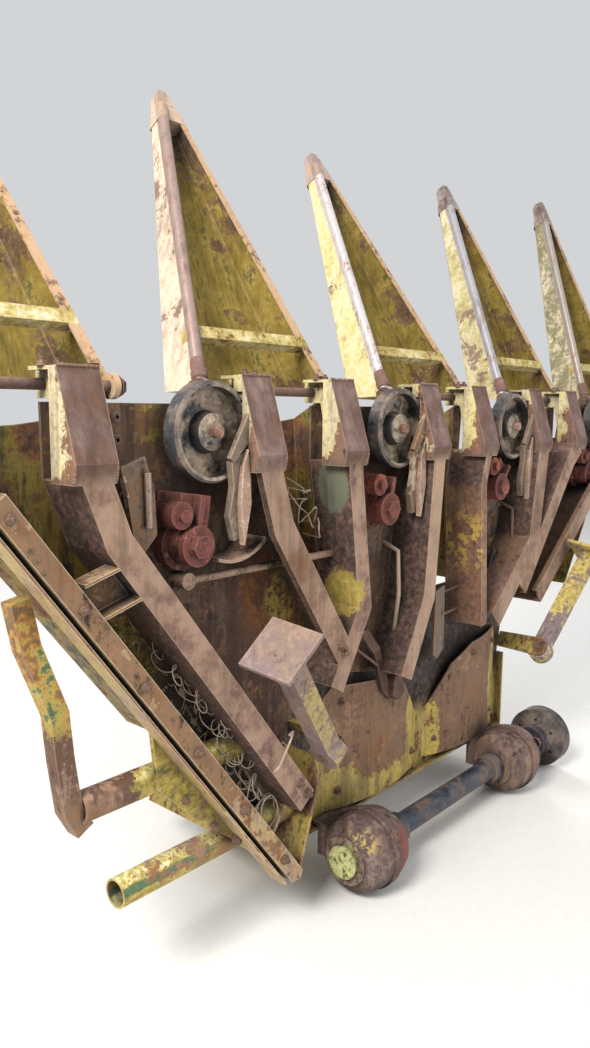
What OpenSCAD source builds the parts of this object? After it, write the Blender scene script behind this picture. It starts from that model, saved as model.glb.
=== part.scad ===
/* [Rows] */
// Distance between the centres of neighbouring dividers
row_gap = 760; // [740:10:800]
// Width of the slot that a row of stalks runs along
slot_w = 70; // [50:5:80]

/* [Snouts] */
// Height of the snout hinges above the rear face
hinge_z = 1290; // [1270:5:1310]
// Mean lean of the folded-back snouts, in degrees
snout_lean = 27; // [25:0.5:29]
// Length of a snout from its hinge to its tip
snout_l = 985; // [880:5:1080]
// Width of a snout at its hinge
snout_w = 515; // [490:5:530]
// Height of the snout's side walls at its hinge
snout_side = 140; // [110:5:160]
// Height of the snout's ridge at its hinge
snout_ridge = 195; // [170:5:220]
// Width of a snout at its tip
tip_w = 46; // [36:2:60]
// Height of the side walls at the tip
tip_side = 36; // [26:2:44]
// Height of the ridge at the tip
tip_ridge = 50; // [46:2:60]
// Thickness of the snout's sheet
snout_t = 5; // [3:0.5:8]
// Width of the rims folded inwards along the open side
rim_w = 30; // [20:2:44]
// Slope of the lower edges of the snout's side walls, in degrees
snout_cut = 28; // [10:1:32]
// Distance from the hinge to the cross brace
brace_at = 150; // [110:5:200]
// Width of the cross brace
brace_w = 34; // [24:2:46]
// Diameter of the polished rail on the left rim
rail_d = 30; // [22:1:36]
// Length of the forged cap on the tip
cap_l = 96; // [60:4:130]

/* [Hinges] */
// Diameter of the hinge bars
hinge_d = 24; // [18:1:30]
// Diameter of the lugs round the hinge bars
lug_d = 56; // [48:2:66]
// Thickness of the lugs
lug_t = 15; // [10:1:18]
// Radial play of everything that turns on a pin
play = 0.06; // [0.02:0.01:0.1]

/* [Arms] */
// Usual width of the straps that face the ground in work
strap_w = 68; // [56:2:76]
// Thickness of the arm plates
arm_t = 8; // [6:1:12]
// Distance of the straps from the deck
strap_out = 138; // [130:2:144]
// Width of the skid noses
nose_w = 100; // [90:2:110]
// Height of the top of the noses
nose_top = 1325; // [1318:1:1332]
// Height of the knee of the noses
knee_z = 1135; // [1125:1:1150]
// Height of the lower end of the noses
nose_foot = 1094; // [1084:1:1104]
// Distance of the nose's top edge from the deck
nose_out = 87; // [80:1:96]
// Distance of the nose's knee from the deck
knee_out = 146; // [141:1:160]
// Distance of the open back of the noses from the deck
nose_back = 60; // [50:1:70]

/* [Decks] */
// Thickness of the deck sheets
deck_t = 6; // [4:1:8]
// Height of the front edge of the decks
deck_top = 1255; // [1230:5:1258]

/* [Hoods] */
// Width of a hood at the snout hinge
hood_w = 440; // [400:5:460]
// Height of a hood's side walls at the snout hinge
hood_side = 130; // [100:5:150]
// Height of a hood's ridge at the snout hinge
hood_ridge = 185; // [160:5:210]
// Thickness of the hood's sheet
hood_t = 5; // [3:0.5:8]

/* [Rear] */
// Distance of the left end's foot from the middle
left_end_x = 790; // [780:2:800]
// Distance by which the left end leans inwards at its top
left_end_in = 100; // [80:5:110]
// Distance of the right end from the middle
right_end_x = 552; // [545:1:560]
// Height of the end plates
end_h = 300; // [280:5:310]
// Distance by which the rear wall stands out under the decks
wall_out = 20; // [10:2:26]
// Thickness of the end plates and the rear wall
wall_t = 8; // [6:1:12]
// Depth of the rear wall on the side of the hoods
rear_depth = 500; // [460:10:560]
// Width of the opening that feeds the crop rearwards
throat_w = 860; // [800:10:940]
// Near edge of that opening
throat_near = 40; // [30:5:60]
// Far edge of that opening
throat_far = 380; // [340:10:400]
// Length of the throat's duct
throat_l = 440; // [380:10:460]

/* [Side beam] */
// Width of the side beam
beam_w = 62; // [56:1:68]
// Height of the side beam's box
beam_h = 58; // [50:1:66]
// Height of the side beam's thin flange
beam_lip = 50; // [40:1:56]
// Width of the side beam's box
beam_face = 45; // [40:1:48]
// Distance of the side beam's back from the deck
beam_out = 92; // [90:1:94]
// Distance of the side beam's foot from the middle
beam_foot = 815; // [810:1:822]
// Lean of the side beam from upright, in degrees
beam_lean = 37.3; // [36.6:0.1:38]
// Height of the upper end of the side beam
beam_top = 1072; // [1060:2:1074]

/* [Outrigger] */
// Diameter of the outrigger tubes
tube_d = 70; // [60:1:72]
// Wall of the outrigger tubes
tube_t = 5; // [3:0.5:8]
// Height of the lower tube
low_tube_z = 150; // [140:1:160]
// Height of the upper tube
high_tube_z = 390; // [380:1:400]
// Distance of the lower tube's end from the middle
low_tube_x = 1321; // [1250:5:1360]
// Distance of the upper tube's end from the middle
high_tube_x = 1412; // [1400:1:1430]
// Distance of the tubes' centres from the deck
tube_out = 45; // [44:1:46]

/* [Pans] */
// Width of each crowned pan
pan_w = 500; // [480:2:520]
// Crown of the pans
pan_crown = 50; // [40:1:52]
// Height of the pans
pan_h = 392; // [370:2:400]
// Height of the lower edge of the pans
pan_z = 28; // [26:1:36]
// Thickness of the pans
pan_t = 6; // [4:1:8]

/* [Drums] */
// Diameter of the row drums
drum_d = 238; // [220:2:246]
// Depth of the row drums
drum_h = 50; // [40:2:52]
// Height of the drums
drum_z = 1190; // [1180:2:1200]
// Diameter of the drum spindles
spindle_d = 28; // [22:1:34]

/* [Row castings] */
// Diameter of a casting's lower boss
boss_d = 96; // [84:2:100]
// Height of that boss above the deck
boss_h = 96; // [80:2:104]
// Width of a casting's arm
casting_w = 90; // [70:2:96]
// Thickness of a casting's foot on the deck
casting_foot = 12; // [8:1:16]
// Diameter of the tie rod that crosses the second divider
rod_d = 20; // [14:1:24]
// Height of the tie rod
rod_z = 843; // [838:1:850]
// Distance of the tie rod from the deck
rod_out = 50; // [44:1:60]

/* [Cross drive] */
// Distance of the cross shaft behind the rear face
drive_below = 35; // [33:1:38]
// Distance of the cross shaft from the deck
drive_out = 150; // [148:1:156]
// Diameter of the cross shaft's tube
shaft_d = 70; // [56:1:80]
// Diameter of the journals in the gearboxes
journal_d = 40; // [30:1:50]
// Diameter of the gearboxes
box_d = 240; // [230:1:242]
// Place of the left gearbox along the shaft
left_box_x = -505; // [-515:1:-500]
// Place of the right gearbox along the shaft
right_box_x = 365; // [355:1:372]
// Length of the gearboxes
box_l = 210; // [190:2:216]
// Diameter of the coupling disc
disc_d = 225; // [200:1:226]
// Place of the coupling disc's open face
disc_x = 675; // [668:1:690]

/* [Stands] */
// Length of a parking stand from its pin to its foot
stand_l = 452; // [400:4:460]
// Width of the stand's leg
leg_w = 56; // [40:2:60]
// Diameter of the stand's pin
stand_pin_d = 24; // [18:1:28]
// Wall of the stand's leg
leg_t = 5; // [3:0.5:8]
// Side length of the stand's foot plate
foot_w = 150; // [120:5:160]
// Opening of the stowed stands from their arms, in degrees
stand_tilt = 9; // [5:1:14]

/* [Hitch] */
// Half of the distance between the hitch plates
hitch_x = 390; // [360:5:430]
// Diameter of the bores in the hitch plates
hitch_bore = 32; // [26:1:38]
// Thickness of the hitch plates
hitch_t = 20; // [14:1:26]

/* [Hidden] */
$fn = 64;

yellow = "#b9a83c";
rust = "#6d4f45";
bare = "#b3a39a";
dark = "#3d4450";
red_rust = "#7d4640";

drive_z = -drive_below;
slab = 1;
gap = 0.3;
beyond = 2000;
dividers = [0, 1, 2, 3, 4];
rows = [1, 2, 3, 4];
sides = [-1, 1];

// Lean of each snout beyond the mean one, and the place of its tip from its middle line
lean_more = [0, 2.5, 3.8, -0.4, -6.9];
tip_shift = [0, 45, -11, 7, -63];

// Each arm: divider, place of its nose from the divider's centre, its bend, its foot
// as [x from the divider's centre, z], whether its left and right webs are deep,
// and its width beyond the usual one; the outer noses have no straps
DIV = 0;
NOSE = 1;
BEND = 2;
FOOT = 3;
LEFT_WEB = 4;
RIGHT_WEB = 5;
WIDER = 6;
arms = [
    [0, -170],
    [0, 110, [165, 970], [759, 200], true, false, 0],
    [1, -150, [-100, 950], [165, 555], false, true, 4],
    [1, 184, [240, 690], [120, 480], true, false, -10],
    [2, -146, [-184, 665], [-300, 430], true, false, -6],
    [2, 165, [136, 1000], [174, 506], true, false, -33],
    [3, -175, [-225, 760], [-500, 510], true, false, 13],
    [3, 152, [80, 1060], [-300, 590], true, false, 2],
    [4, -110, [-215, 1075], [-920, 538], false, true, 0],
    [4, 170]];

// Each row's casting: its lower boss as [x from the row's drum, z]
castings = [undef, [-64, 930], [-69, 953], [-112, 976], [-150, 985]];

// Each hood's rear end: x, z, width, height of its sides, height of its ridge
hood_rears = [
    [-1075, 480, 200, 90, 120],
    [-585, 655, 130, 90, 120],
    [-20, 655, 380, 90, 150],
    [585, 655, 130, 90, 120],
    [1075, 480, 200, 90, 120]];

wiper_r = 160;
wiper_h = 90;
hook_t = 14;
guide_h = 22;
drum_room = 6;

// Places of the left and the right stand's pins
stand_pins = [[-700, 330], [-590, 330]];
stand_lean = -37.3;
web_short = 20;
drum_back = 34;
hood_y = 11.2;
hinge_plate_in = 20;
clear = 28;
bracket_w = 75;
floor_top = 640;
pan_in = 24;

function div_x(i) = (i - 2) * row_gap;
function unit(v) = v / norm(v);
function seg_normal(p, i) = let (d = unit(p[i + 1] - p[i])) [-d.y, d.x];
function mitre(p, i) =
    i == 0 ? seg_normal(p, 0) :
    i == len(p) - 1 ? seg_normal(p, len(p) - 2) :
    let (a = seg_normal(p, i - 1), b = seg_normal(p, i)) (a + b) / (1 + a * b);
function side_of(p, o) = [for (i = [0:len(p) - 1]) p[i] + o * mitre(p, i)];
function reversed(p) = [for (i = [len(p) - 1:-1:0]) p[i]];
function arm_w(a) = strap_w + a[WIDER];

// Place of an arm's left edge at a height between its bend and its nose
function arm_edge(a, z) = let (e = side_of(arm_path(a), -arm_w(a) / 2))
    e[1].x + (e[0].x - e[1].x) * (z - e[1].y) / (e[0].y - e[1].y);

function arm_path(a) = let (c = div_x(a[DIV]))
    [[c + a[NOSE], nose_foot + 2 * arm_t], [c + a[BEND].x, a[BEND].y], [c + a[FOOT].x, a[FOOT].y]];

// A band along a path, from offset a to offset b
module stroke(p, a, b) {
    polygon(concat(side_of(p, a), reversed(side_of(p, b))));
}

// A flat shape drawn in x and z, between two values of y
module xz(y0, y1) {
    translate([0, y1, 0])
        rotate([90, 0, 0])
            linear_extrude(y1 - y0)
                children();
}

// A flat shape drawn in y and z, between two values of x
module yz(x0, x1) {
    translate([x0, 0, 0])
        rotate([90, 0, 90])
            linear_extrude(x1 - x0)
                children();
}

// A cylinder along x or along y, from one value to the other
module bar_x(d, x0, x1) {
    translate([x0, 0, 0])
        rotate([0, 90, 0])
            cylinder(d = d, h = x1 - x0);
}
module bar_y(d, y0, y1) {
    translate([0, y0, 0])
        rotate([-90, 0, 0])
            cylinder(d = d, h = y1 - y0);
}

module snout_place(i) {
    translate([div_x(i), 0, hinge_z])
        rotate([-snout_lean - lean_more[i], 0, 0])
            children();
}

// Cross-section of a snout or a hood: width, height of sides, height of ridge
module peak(w, side, ridge) {
    polygon([[-w / 2, 0], [-w / 2, side], [-w / 4, (side + ridge) / 2 + (ridge - side) / 5],
             [0, ridge], [w / 4, (side + ridge) / 2 + (ridge - side) / 5], [w / 2, side], [w / 2, 0]]);
}

module snout(i) {
    color(yellow)
        snout_place(i)
            difference() {
                union() {
                    snout_shell(tip_shift[i]);
                    snout_rims(tip_shift[i]);
                    snout_trim(tip_shift[i]);
                }
                bar_x(hinge_d + 2 * play, -snout_w, snout_w);
            }
}

// Place of a snout's left or right edge at a distance from the hinge
function edge_at(side, shift, z) =
    side * snout_w / 2 + (shift - side * (snout_w - tip_w) / 2) * z / snout_l;

module snout_shell(shift) {
    difference() {
        hull() {
            linear_extrude(slab)
                peak(snout_w, snout_side, snout_ridge);
            translate([shift, 0, snout_l])
                linear_extrude(slab)
                    peak(tip_w, tip_side, tip_ridge);
        }
        hull() {
            translate([0, -1, -1])
                linear_extrude(slab)
                    peak(snout_w - 2 * snout_t, snout_side + 1 - snout_t, snout_ridge + 1 - snout_t);
            translate([shift, -1, snout_l - snout_t])
                linear_extrude(slab)
                    peak(tip_w - 2 * snout_t, tip_side + 1 - snout_t, tip_ridge + 1 - snout_t);
        }
        yz(-snout_w, snout_w)
            polygon([[snout_t, -1], [2 * snout_ridge, -1], [2 * snout_ridge, 2 * snout_ridge * tan(snout_cut)],
                     [snout_t, 0]]);
    }
}

module snout_rims(shift) {
    for (s = sides)
        xz(0, snout_t)
            polygon([[edge_at(s, shift, lug_d), lug_d], [shift + s * tip_w / 2, snout_l],
                     [shift + s * (tip_w - rim_w) / 2, snout_l], [edge_at(s, shift, lug_d) - s * rim_w, lug_d]]);
}

module snout_trim(shift) {
    rail_top = snout_l - cap_l / 2;
    rail = [edge_at(-1, shift, rail_top) + snout_w / 2, rail_top - lug_d / 4];
    brace_left = edge_at(-1, shift, brace_at + brace_w) + snout_t / 2;
    brace_right = edge_at(1, shift, brace_at + brace_w) - snout_t / 2;
    // Polished rail along the left rim
    translate([-snout_w / 2 + rail_d / 3, 0, lug_d / 4])
        rotate([0, atan(rail.x / rail.y), 0])
            cylinder(d = rail_d, h = norm(rail));
    // Cross brace
    translate([brace_left, 0, brace_at])
        cube([brace_right - brace_left, snout_t, brace_w]);
    translate([brace_left, 0, brace_at])
        cube([brace_right - brace_left, brace_w, snout_t]);
    // Lugs round the hinge bar
    for (s = sides)
        translate([s * (snout_w / 2 - lug_t / 2), 0, 0])
            bar_x(lug_d, -lug_t / 2, lug_t / 2);
    // Cap on the tip
    cap_mid = shift * (1 - cap_l / snout_l);
    cap_w = edge_at(1, shift, snout_l - cap_l) - edge_at(-1, shift, snout_l - cap_l);
    hull() {
        translate([cap_mid, 0, snout_l - cap_l])
            linear_extrude(slab)
                peak(cap_w + 6, tip_side + 18, tip_ridge + 22);
        translate([shift, 0, snout_l + 12])
            linear_extrude(slab)
                peak(tip_w - 18, tip_side - 6, tip_ridge - 10);
    }
}

module hood(i) {
    r = hood_rears[i];
    color(yellow)
        difference() {
            hull() {
                snout_place(i)
                    translate([0, hood_y, -6])
                        linear_extrude(slab)
                            peak(hood_w, hood_side, hood_ridge);
                translate([r[0], deck_t + gap, r[1]])
                    linear_extrude(slab)
                        peak(r[2], r[3], r[4]);
            }
            hull() {
                snout_place(i)
                    translate([0, hood_y - 1, -5])
                        linear_extrude(slab)
                            peak(hood_w - 2 * hood_t, hood_side + 1 - hood_t, hood_ridge + 1 - hood_t);
                translate([r[0], deck_t + gap - 1, r[1] - 1])
                    linear_extrude(slab)
                        peak(r[2] - 2 * hood_t, r[3] + 1 - hood_t, r[4] + 1 - hood_t);
            }
        }
}

module arm(a) {
    if (a[FOOT] != undef) {
        p = arm_path(a);
        w = arm_w(a) / 2;
        xz(-strap_out, -strap_out + arm_t)
            stroke(p, -w, w);
        xz(-strap_out, a[LEFT_WEB] ? 0 : -strap_out + web_short)
            stroke(p, -w, -w + arm_t);
        xz(-strap_out, a[RIGHT_WEB] ? 0 : -strap_out + web_short)
            stroke(p, w - arm_t, w);
    }
    translate([div_x(a[DIV]) + a[NOSE], 0, 0])
        nose(a[NOSE] < 0 ? 1 : -1);
}

// A skid nose; inner is the side of the divider's centre
module nose(inner) {
    w = nose_w / 2;
    face = [[-nose_out, nose_top], [-knee_out, knee_z], [-strap_out, nose_foot]];
    yz(-w, w)
        stroke(face, 0, arm_t);
    for (s = sides)
        yz(s * (w - arm_t / 2) - arm_t / 2, s * (w - arm_t / 2) + arm_t / 2)
            polygon(concat(face, [[-nose_back, nose_foot], [-nose_back, nose_top]]));
    // Bracket over the hinge bar, and the plate that holds the bar
    translate([inner > 0 ? w - bracket_w : -w, -nose_out, nose_top - arm_t])
        cube([bracket_w, nose_out + hinge_d / 2, arm_t]);
    yz(inner * hinge_plate_in - arm_t / 2, inner * hinge_plate_in + arm_t / 2)
        polygon([[-nose_back - arm_t / 2, nose_foot], [-nose_back - arm_t / 2, nose_top], [lug_d / 2, nose_top],
                 [lug_d / 2, hinge_z - lug_d / 2], [-nose_back / 2, hinge_z - lug_d / 2]]);
}

module arms_of(i) {
    color(rust) {
        difference() {
            for (a = arms)
                if (a[DIV] == i)
                    arm(a);
            // Room for the drum beside the left nose, and for the tie rod
            if (i > 0)
                translate([drum_x(i), 0, drum_z])
                    bar_y(drum_d + 2 * drum_room, -drum_back - drum_h - drum_room, 1);
            translate([0, -rod_out, rod_z])
                bar_x(rod_d + 2 * gap, drum_x(1), arm_edge(arms[3], rod_z) - 1);
        }
        translate([div_x(i), 0, hinge_z])
            bar_x(hinge_d, -snout_w / 2 - 6, snout_w / 2 + 6);
    }
}

// The drum of a row runs beside the hinge plate of the arm on its right
function drum_x(r) = let (a = row_right(r))
    div_x(r) + a[NOSE] + hinge_plate_in - arm_t / 2 - clear - drum_d / 2;

// The two arms that border row r
function row_left(r) = [for (a = arms) if (a[DIV] == r - 1 && a[NOSE] > 0) a][0];
function row_right(r) = [for (a = arms) if (a[DIV] == r && a[NOSE] < 0) a][0];

module deck(r) {
    l = arm_path(row_left(r));
    q = arm_path(row_right(r));
    up = deck_top - l[0].y;
    lw = arm_w(row_left(r)) / 2;
    rw = arm_w(row_right(r)) / 2;
    left = concat([l[0] + [-lw, up]], side_of(l, -lw));
    right = concat([q[0] + [rw, up]], side_of(q, rw));
    slot = side_of([l[0] + [0, 2 * up], l[0], l[1]], lw + slot_w / 2 + 6);
    guide = [slot[1] + [0, deck_top - slot[1].y], slot[1], slot[2]];
    color(rust) {
        difference() {
            xz(0, deck_t)
                difference() {
                    polygon(concat(left, reversed(right)));
                    stroke(slot, -slot_w / 2, slot_w / 2);
                    if (r < len(rows))
                        arm_side(row_left(r + 1), slot_w * 4);
                }
            for (s = sides)
                stand_place(s)
                    bracket_plate(gap);
        }
        // Guide bar along the slot's right edge
        xz(-guide_h, 0)
            stroke(guide, slot_w / 2, slot_w / 2 + deck_t);
    }
}

// All that lies from an arm's left edge to a distance on its right
module arm_side(a, reach) {
    stroke(arm_path(a), -arm_w(a) / 2 - gap, reach);
}

module row_casting(r) {
    low = [drum_x(r), 0] + castings[r];
    top = [drum_x(r) - casting_w / 2, drum_z - drum_d / 2 - boss_d / 4];
    side = low + [-0.42, 0.77] * boss_d;
    color(red_rust)
        difference() {
            casting_body(r, low, top, side);
            // Room for the deep web of the arm beside it
            xz(-strap_out, 1)
                stroke(arm_path(row_right(r)), web_face(row_right(r)) - gap, casting_w * 3);
        }
}

// Left face of an arm's deep web, from the arm's middle line
function web_face(a) = a[LEFT_WEB] ? -arm_w(a) / 2 : arm_w(a) / 2 - arm_t;

module casting_body(r, low, top, side) {
    // Spindle of the drum, on the deck
    translate([drum_x(r), 0, drum_z]) {
        bar_y(spindle_d, -drum_back - drum_h - spindle_d / 2, 0);
        bar_y(2 * spindle_d, -drum_back, 0);
    }
    // Foot, arm and rib, drawn towards the lower boss
    xz(-casting_foot, 0)
        stroke([top, low], -casting_w * 0.75, casting_w * 0.75);
    xz(-0.7 * boss_h, -casting_foot)
        stroke([top, low], -casting_w / 2, casting_w / 2);
    xz(-0.95 * boss_h, -0.7 * boss_h)
        stroke([top, low], -casting_foot / 2, casting_foot / 2);
    // Lower boss with its flange and hexagonal cap, and the boss beside it
    translate([low.x, 0, low.y]) {
        bar_y(boss_d, -boss_h, 0);
        bar_y(1.3 * boss_d, -0.4 * boss_h, 0);
        rotate([90, 0, 0])
            cylinder(d = 0.6 * boss_d, h = 1.17 * boss_h, $fn = 6);
    }
    translate([side.x, 0, side.y]) {
        bar_y(0.66 * boss_d, -0.9 * boss_h, 0);
        bar_y(0.3 * boss_d, -1.05 * boss_h, 0);
    }
}

// Tie rod between the first row's casting and the second divider's right arm
module tie_rod() {
    from = drum_x(1) + castings[1].x;
    to = min([for (s = sides) arm_edge(arms[3], rod_z + s * rod_d / 2)]);
    color(bare) {
        translate([0, -rod_out, rod_z])
            bar_x(rod_d, from, to - gap);
        translate([from, 0, rod_z])
            bar_y(2 * rod_d, -rod_out - rod_d / 2, 0);
        wiper([from, castings[1].y] + [1.25, 1.1] * boss_d);
    }
}

// Curved blade that wipes the first row's drum; its arc opens upwards
module wiper(mid) {
    intersection() {
        translate([mid.x, 0, mid.y])
            rotate([90, 0, 0])
                difference() {
                    cylinder(r = wiper_r, h = wiper_h);
                    translate([0, 0, -1])
                        cylinder(r = wiper_r - arm_t, h = wiper_h + 2);
                }
        xz(-wiper_h, 0)
            translate([mid.x - wiper_r / 3, mid.y - wiper_r])
                square([wiper_r, wiper_r]);
    }
}

module drum(r) {
    bore = spindle_d / 2 + play;
    rim = drum_d / 2;
    color(dark)
        translate([drum_x(r), -drum_back - gap, drum_z])
            rotate([90, 0, 0])
                rotate_extrude()
                    polygon([[bore, 0], [rim - 8, 0], [rim, 6], [rim, drum_h - 6], [rim - 6, drum_h],
                             [rim - 14, drum_h - 2], [rim - 14, 16], [52, 12], [44, 40], [30, 44],
                             [26, drum_h - 4], [bore, drum_h - 4]]);
}

module pan(s) {
    r = (pan_w * pan_w / 4 + pan_crown * pan_crown) / 2 / pan_crown;
    corner = 30;
    inner_drop = 215;
    color(rust)
        translate([s * (pan_w / 2 + pan_in), deck_t, pan_z])
            mirror([s > 0 ? 0 : 1, 0, 0])
                intersection() {
                    translate([0, r - pan_crown, 0])
                        difference() {
                            cylinder(r = r, h = pan_h, $fn = 128);
                            translate([0, 0, -1])
                                cylinder(r = r - pan_t, h = pan_h + 2, $fn = 128);
                        }
                    xz(-pan_crown - 1, 0)
                        polygon([[-pan_w / 2, 0], [pan_w / 2, 0], [pan_w / 2, pan_h - corner],
                                 [pan_w / 2 - corner, pan_h], [0, pan_h - corner / 2],
                                 [-pan_w / 4, pan_h - inner_drop / 3], [-pan_w / 2 + corner, pan_h - inner_drop + corner],
                                 [-pan_w / 2, pan_h - inner_drop]]);
                }
}

// Front edge of the left end plate, drawn on below the rear face
function left_end() = let (k = left_end_in / end_h)
    [[-left_end_x - end_h * k, -end_h], [-left_end_x + left_end_in, end_h], [-left_end_x + left_end_in, 2 * end_h]];

// All that lies inwards of the left end plate and of the left outer arm
module inboard() {
    xz(-beyond, beyond) {
        polygon(concat(side_of(left_end(), wall_t + gap), [[0, 2 * end_h], [0, -end_h]]));
        arm_side(arms[1], end_h);
    }
}

module rear_frame() {
    wall_l = left_end_x + right_end_x;
    color(yellow) {
        // Rear wall with the feed opening
        difference() {
            translate([-left_end_x, -wall_out, 0])
                cube([wall_l, rear_depth + wall_out, wall_t]);
            translate([-throat_w / 2, throat_near, -1])
                cube([throat_w, throat_far - throat_near, wall_t + 2]);
        }
        // End plates
        intersection() {
            xz(-strap_out, rear_depth)
                stroke(left_end(), 0, wall_t);
            yz(-beyond, 0)
                polygon([[-strap_out, 0], [-strap_out, end_h * 0.8], [-beam_out, end_h], [60, end_h],
                         [rear_depth, 160], [rear_depth, 0]]);
        }
        yz(right_end_x, right_end_x + wall_t)
            polygon([[-wall_out, 0], [-wall_out, end_h], [60, end_h], [rear_depth, 160], [rear_depth, 0]]);
        // Stiffener along the far edge
        translate([-left_end_x, rear_depth - 60, 0])
            difference() {
                cube([wall_l, 60, 100]);
                translate([-1, wall_t, wall_t])
                    cube([wall_l + 2, 60 - 2 * wall_t, 100 - 2 * wall_t]);
            }
        // Floor of the throat, behind the decks
        xz(deck_t, 2 * deck_t)
            polygon([[-left_end_x, 0], [-left_end_x + left_end_in, end_h], [-left_end_x + left_end_in, 420],
                     [-620, floor_top], [620, floor_top], [right_end_x, end_h], [right_end_x, 0]]);
        for (s = sides)
            stand_bracket(s);
    }
}

module throat_duct() {
    color(yellow)
        difference() {
            translate([-throat_w / 2 - wall_t, 2 * deck_t, wall_t])
                cube([throat_w + 2 * wall_t, throat_far + wall_t - 2 * deck_t, throat_l]);
            translate([-throat_w / 2, 0, 0])
                cube([throat_w, throat_far, throat_l + 2 * wall_t]);
        }
}

// Hitch plates, whose feet the stored header stands on
module hitch_plates() {
    foot = drive_z - box_d / 2;
    color(yellow)
        for (s = sides)
            translate([s * hitch_x, 0, 0])
                difference() {
                    yz(-hitch_t / 2, hitch_t / 2)
                        polygon([[rear_depth, 0], [rear_depth, 180], [rear_depth + 60, 180], [rear_depth + 110, 120],
                                 [rear_depth + 110, foot], [rear_depth + 20, foot], [rear_depth + 20, 0]]);
                    translate([0, rear_depth + 62, 90])
                        bar_x(hitch_bore, -hitch_t, hitch_t);
                }
}

module side_beam() {
    half = beam_w / 2;
    along = [sin(beam_lean), -cos(beam_lean)];
    foot = [-beam_foot, 0];
    top = foot - along * beam_top / cos(beam_lean);
    path = [top, foot + along * beam_w];
    color(yellow)
        difference() {
            union() {
                xz(-beam_out - 8, -beam_out)
                    stroke(path, -half, half);
                xz(-beam_out - beam_lip, -beam_out)
                    stroke(path, -half, -half + 7);
                xz(-beam_out - beam_h, -beam_out)
                    stroke(path, half - 7, half);
                xz(-beam_out - beam_h, -beam_out)
                    stroke(path, half - beam_face, half - beam_face + 7);
                xz(-beam_out - beam_h, -beam_out - beam_h + 7)
                    stroke(path, half - beam_face, half);
                cross_member();
                side_panel();
            }
            inboard();
            translate([-beyond, -beyond, -beyond])
                cube([beyond, 2 * beyond, beyond]);
        }
}

// Sheet between the side beam's back and the outer hood's edge
module side_panel() {
    r = hood_rears[0];
    up = [div_x(0) - hood_w / 2, hinge_z];
    low = [r[0] - r[2] / 2, r[1]];
    from = low + (up - low) * (beam_top - 100 - low.y) / (up.y - low.y);
    xz(-beam_out - 1, deck_t)
        stroke([from, low], 0, hood_t);
}

// Open channel between the side beam and the outer row's arm
module cross_member() {
    p = [[-1431, 856], [-1290, 896]];
    xz(-beam_out - 50, -beam_out)
        stroke(p, -45, -38);
    xz(-beam_out - 50, -beam_out)
        stroke(p, 38, 45);
    xz(-beam_out - 7, -beam_out)
        stroke(p, -45, 45);
}

module outrigger() {
    y = -tube_out;
    color(yellow)
        difference() {
            union() {
                translate([0, y, low_tube_z])
                    pipe(-low_tube_x);
                translate([0, y, high_tube_z])
                    pipe(-high_tube_x);
                // Gusset between the beam and the tubes
                xz(-beam_out + gap, -tube_out - tube_d / 2 + 2)
                    polygon([[-1245, 526], [-1228, 379], [-1107, 259], [-966, 143], [-924, 143], [-1104, 379],
                             [-1216, 526]]);
                // Bent bar from the beam's upper part to the upper tube
                xz(y - 20, y + 20)
                    stroke([[-1538, 870], [-1518, 769], [-1460, 618], [-1450, 513], [-1434, 396], [-1406, 344]],
                           -22, 22);
            }
            inboard();
        }
}

module pipe(x_end) {
    difference() {
        bar_x(tube_d, x_end, -left_end_x + left_end_in);
        bar_x(tube_d - 2 * tube_t, x_end - 1, -left_end_x + left_end_in + 1);
    }
}

module gearbox(x0, through) {
    half = box_l / 2;
    rim = box_d / 2;
    wall = box_d / 20;
    edge = drive_out - wall_out - gap;
    seat = wall_t + gap - drive_z;
    color(red_rust)
        translate([x0, -drive_out, drive_z])
            difference() {
                union() {
                    rotate([0, 90, 0])
                        rotate_extrude()
                            polygon([[0, -half], [0.58 * rim, -half], [0.58 * rim, -half + wall],
                                     [0.86 * rim, -0.72 * half], [0.94 * rim, -0.42 * half], [0.94 * rim, -wall],
                                     [rim, -wall], [rim, wall], [0.94 * rim, wall], [0.94 * rim, 0.36 * half],
                                     [0.84 * rim, 0.70 * half], [0.52 * rim, half - wall], [0.52 * rim, half],
                                     [0, half]]);
                    if (!through)
                        bar_x(0.4 * box_d, -half - wall, -half);
                    // Bracket that hooks over the edge of the rear wall
                    yz(-box_l / 3, box_l / 3)
                        polygon([[0, -box_d / 6], [edge, -box_d / 6], [edge, seat], [edge + wall_out, seat],
                                 [edge + wall_out, seat + hook_t], [0, seat + hook_t]]);
                }
                bar_x(journal_d + 2 * play, through ? -box_l : -box_l / 2 + 60, box_l);
            }
}

module cross_shaft() {
    x0 = left_box_x + box_l / 2 + 8;
    x1 = right_box_x - box_l / 2 - 8;
    color(dark)
        translate([0, -drive_out, drive_z]) {
            bar_x(journal_d, left_box_x - box_l / 2 + 70, disc_x - 20);
            bar_x(shaft_d, x0, x1);
            bar_x(shaft_d + 26, x0, x0 + 46);
            bar_x(shaft_d + 26, x1 - 46, x1);
            translate([disc_x, 0, 0])
                rotate([0, 90, 0])
                    difference() {
                        rotate_extrude()
                            polygon([[0, -120], [60, -120], [60, -80], [disc_d / 2, -60], [disc_d / 2, 0],
                                     [disc_d / 2 - 30, 0], [disc_d / 2 - 34, -30], [0, -34]]);
                        for (k = [0:5])
                            rotate([0, 0, k * 60])
                                translate([75, 0, -130])
                                    cylinder(r = 6.5, h = 130);
                    }
        }
}

module stand_place(s) {
    mirror([s > 0 ? 1 : 0, 0, 0])
        translate([stand_pins[(s + 1) / 2].x, -strap_out - 20, stand_pins[(s + 1) / 2].y])
            rotate([0, stand_lean, 0])
                children();
}

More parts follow.
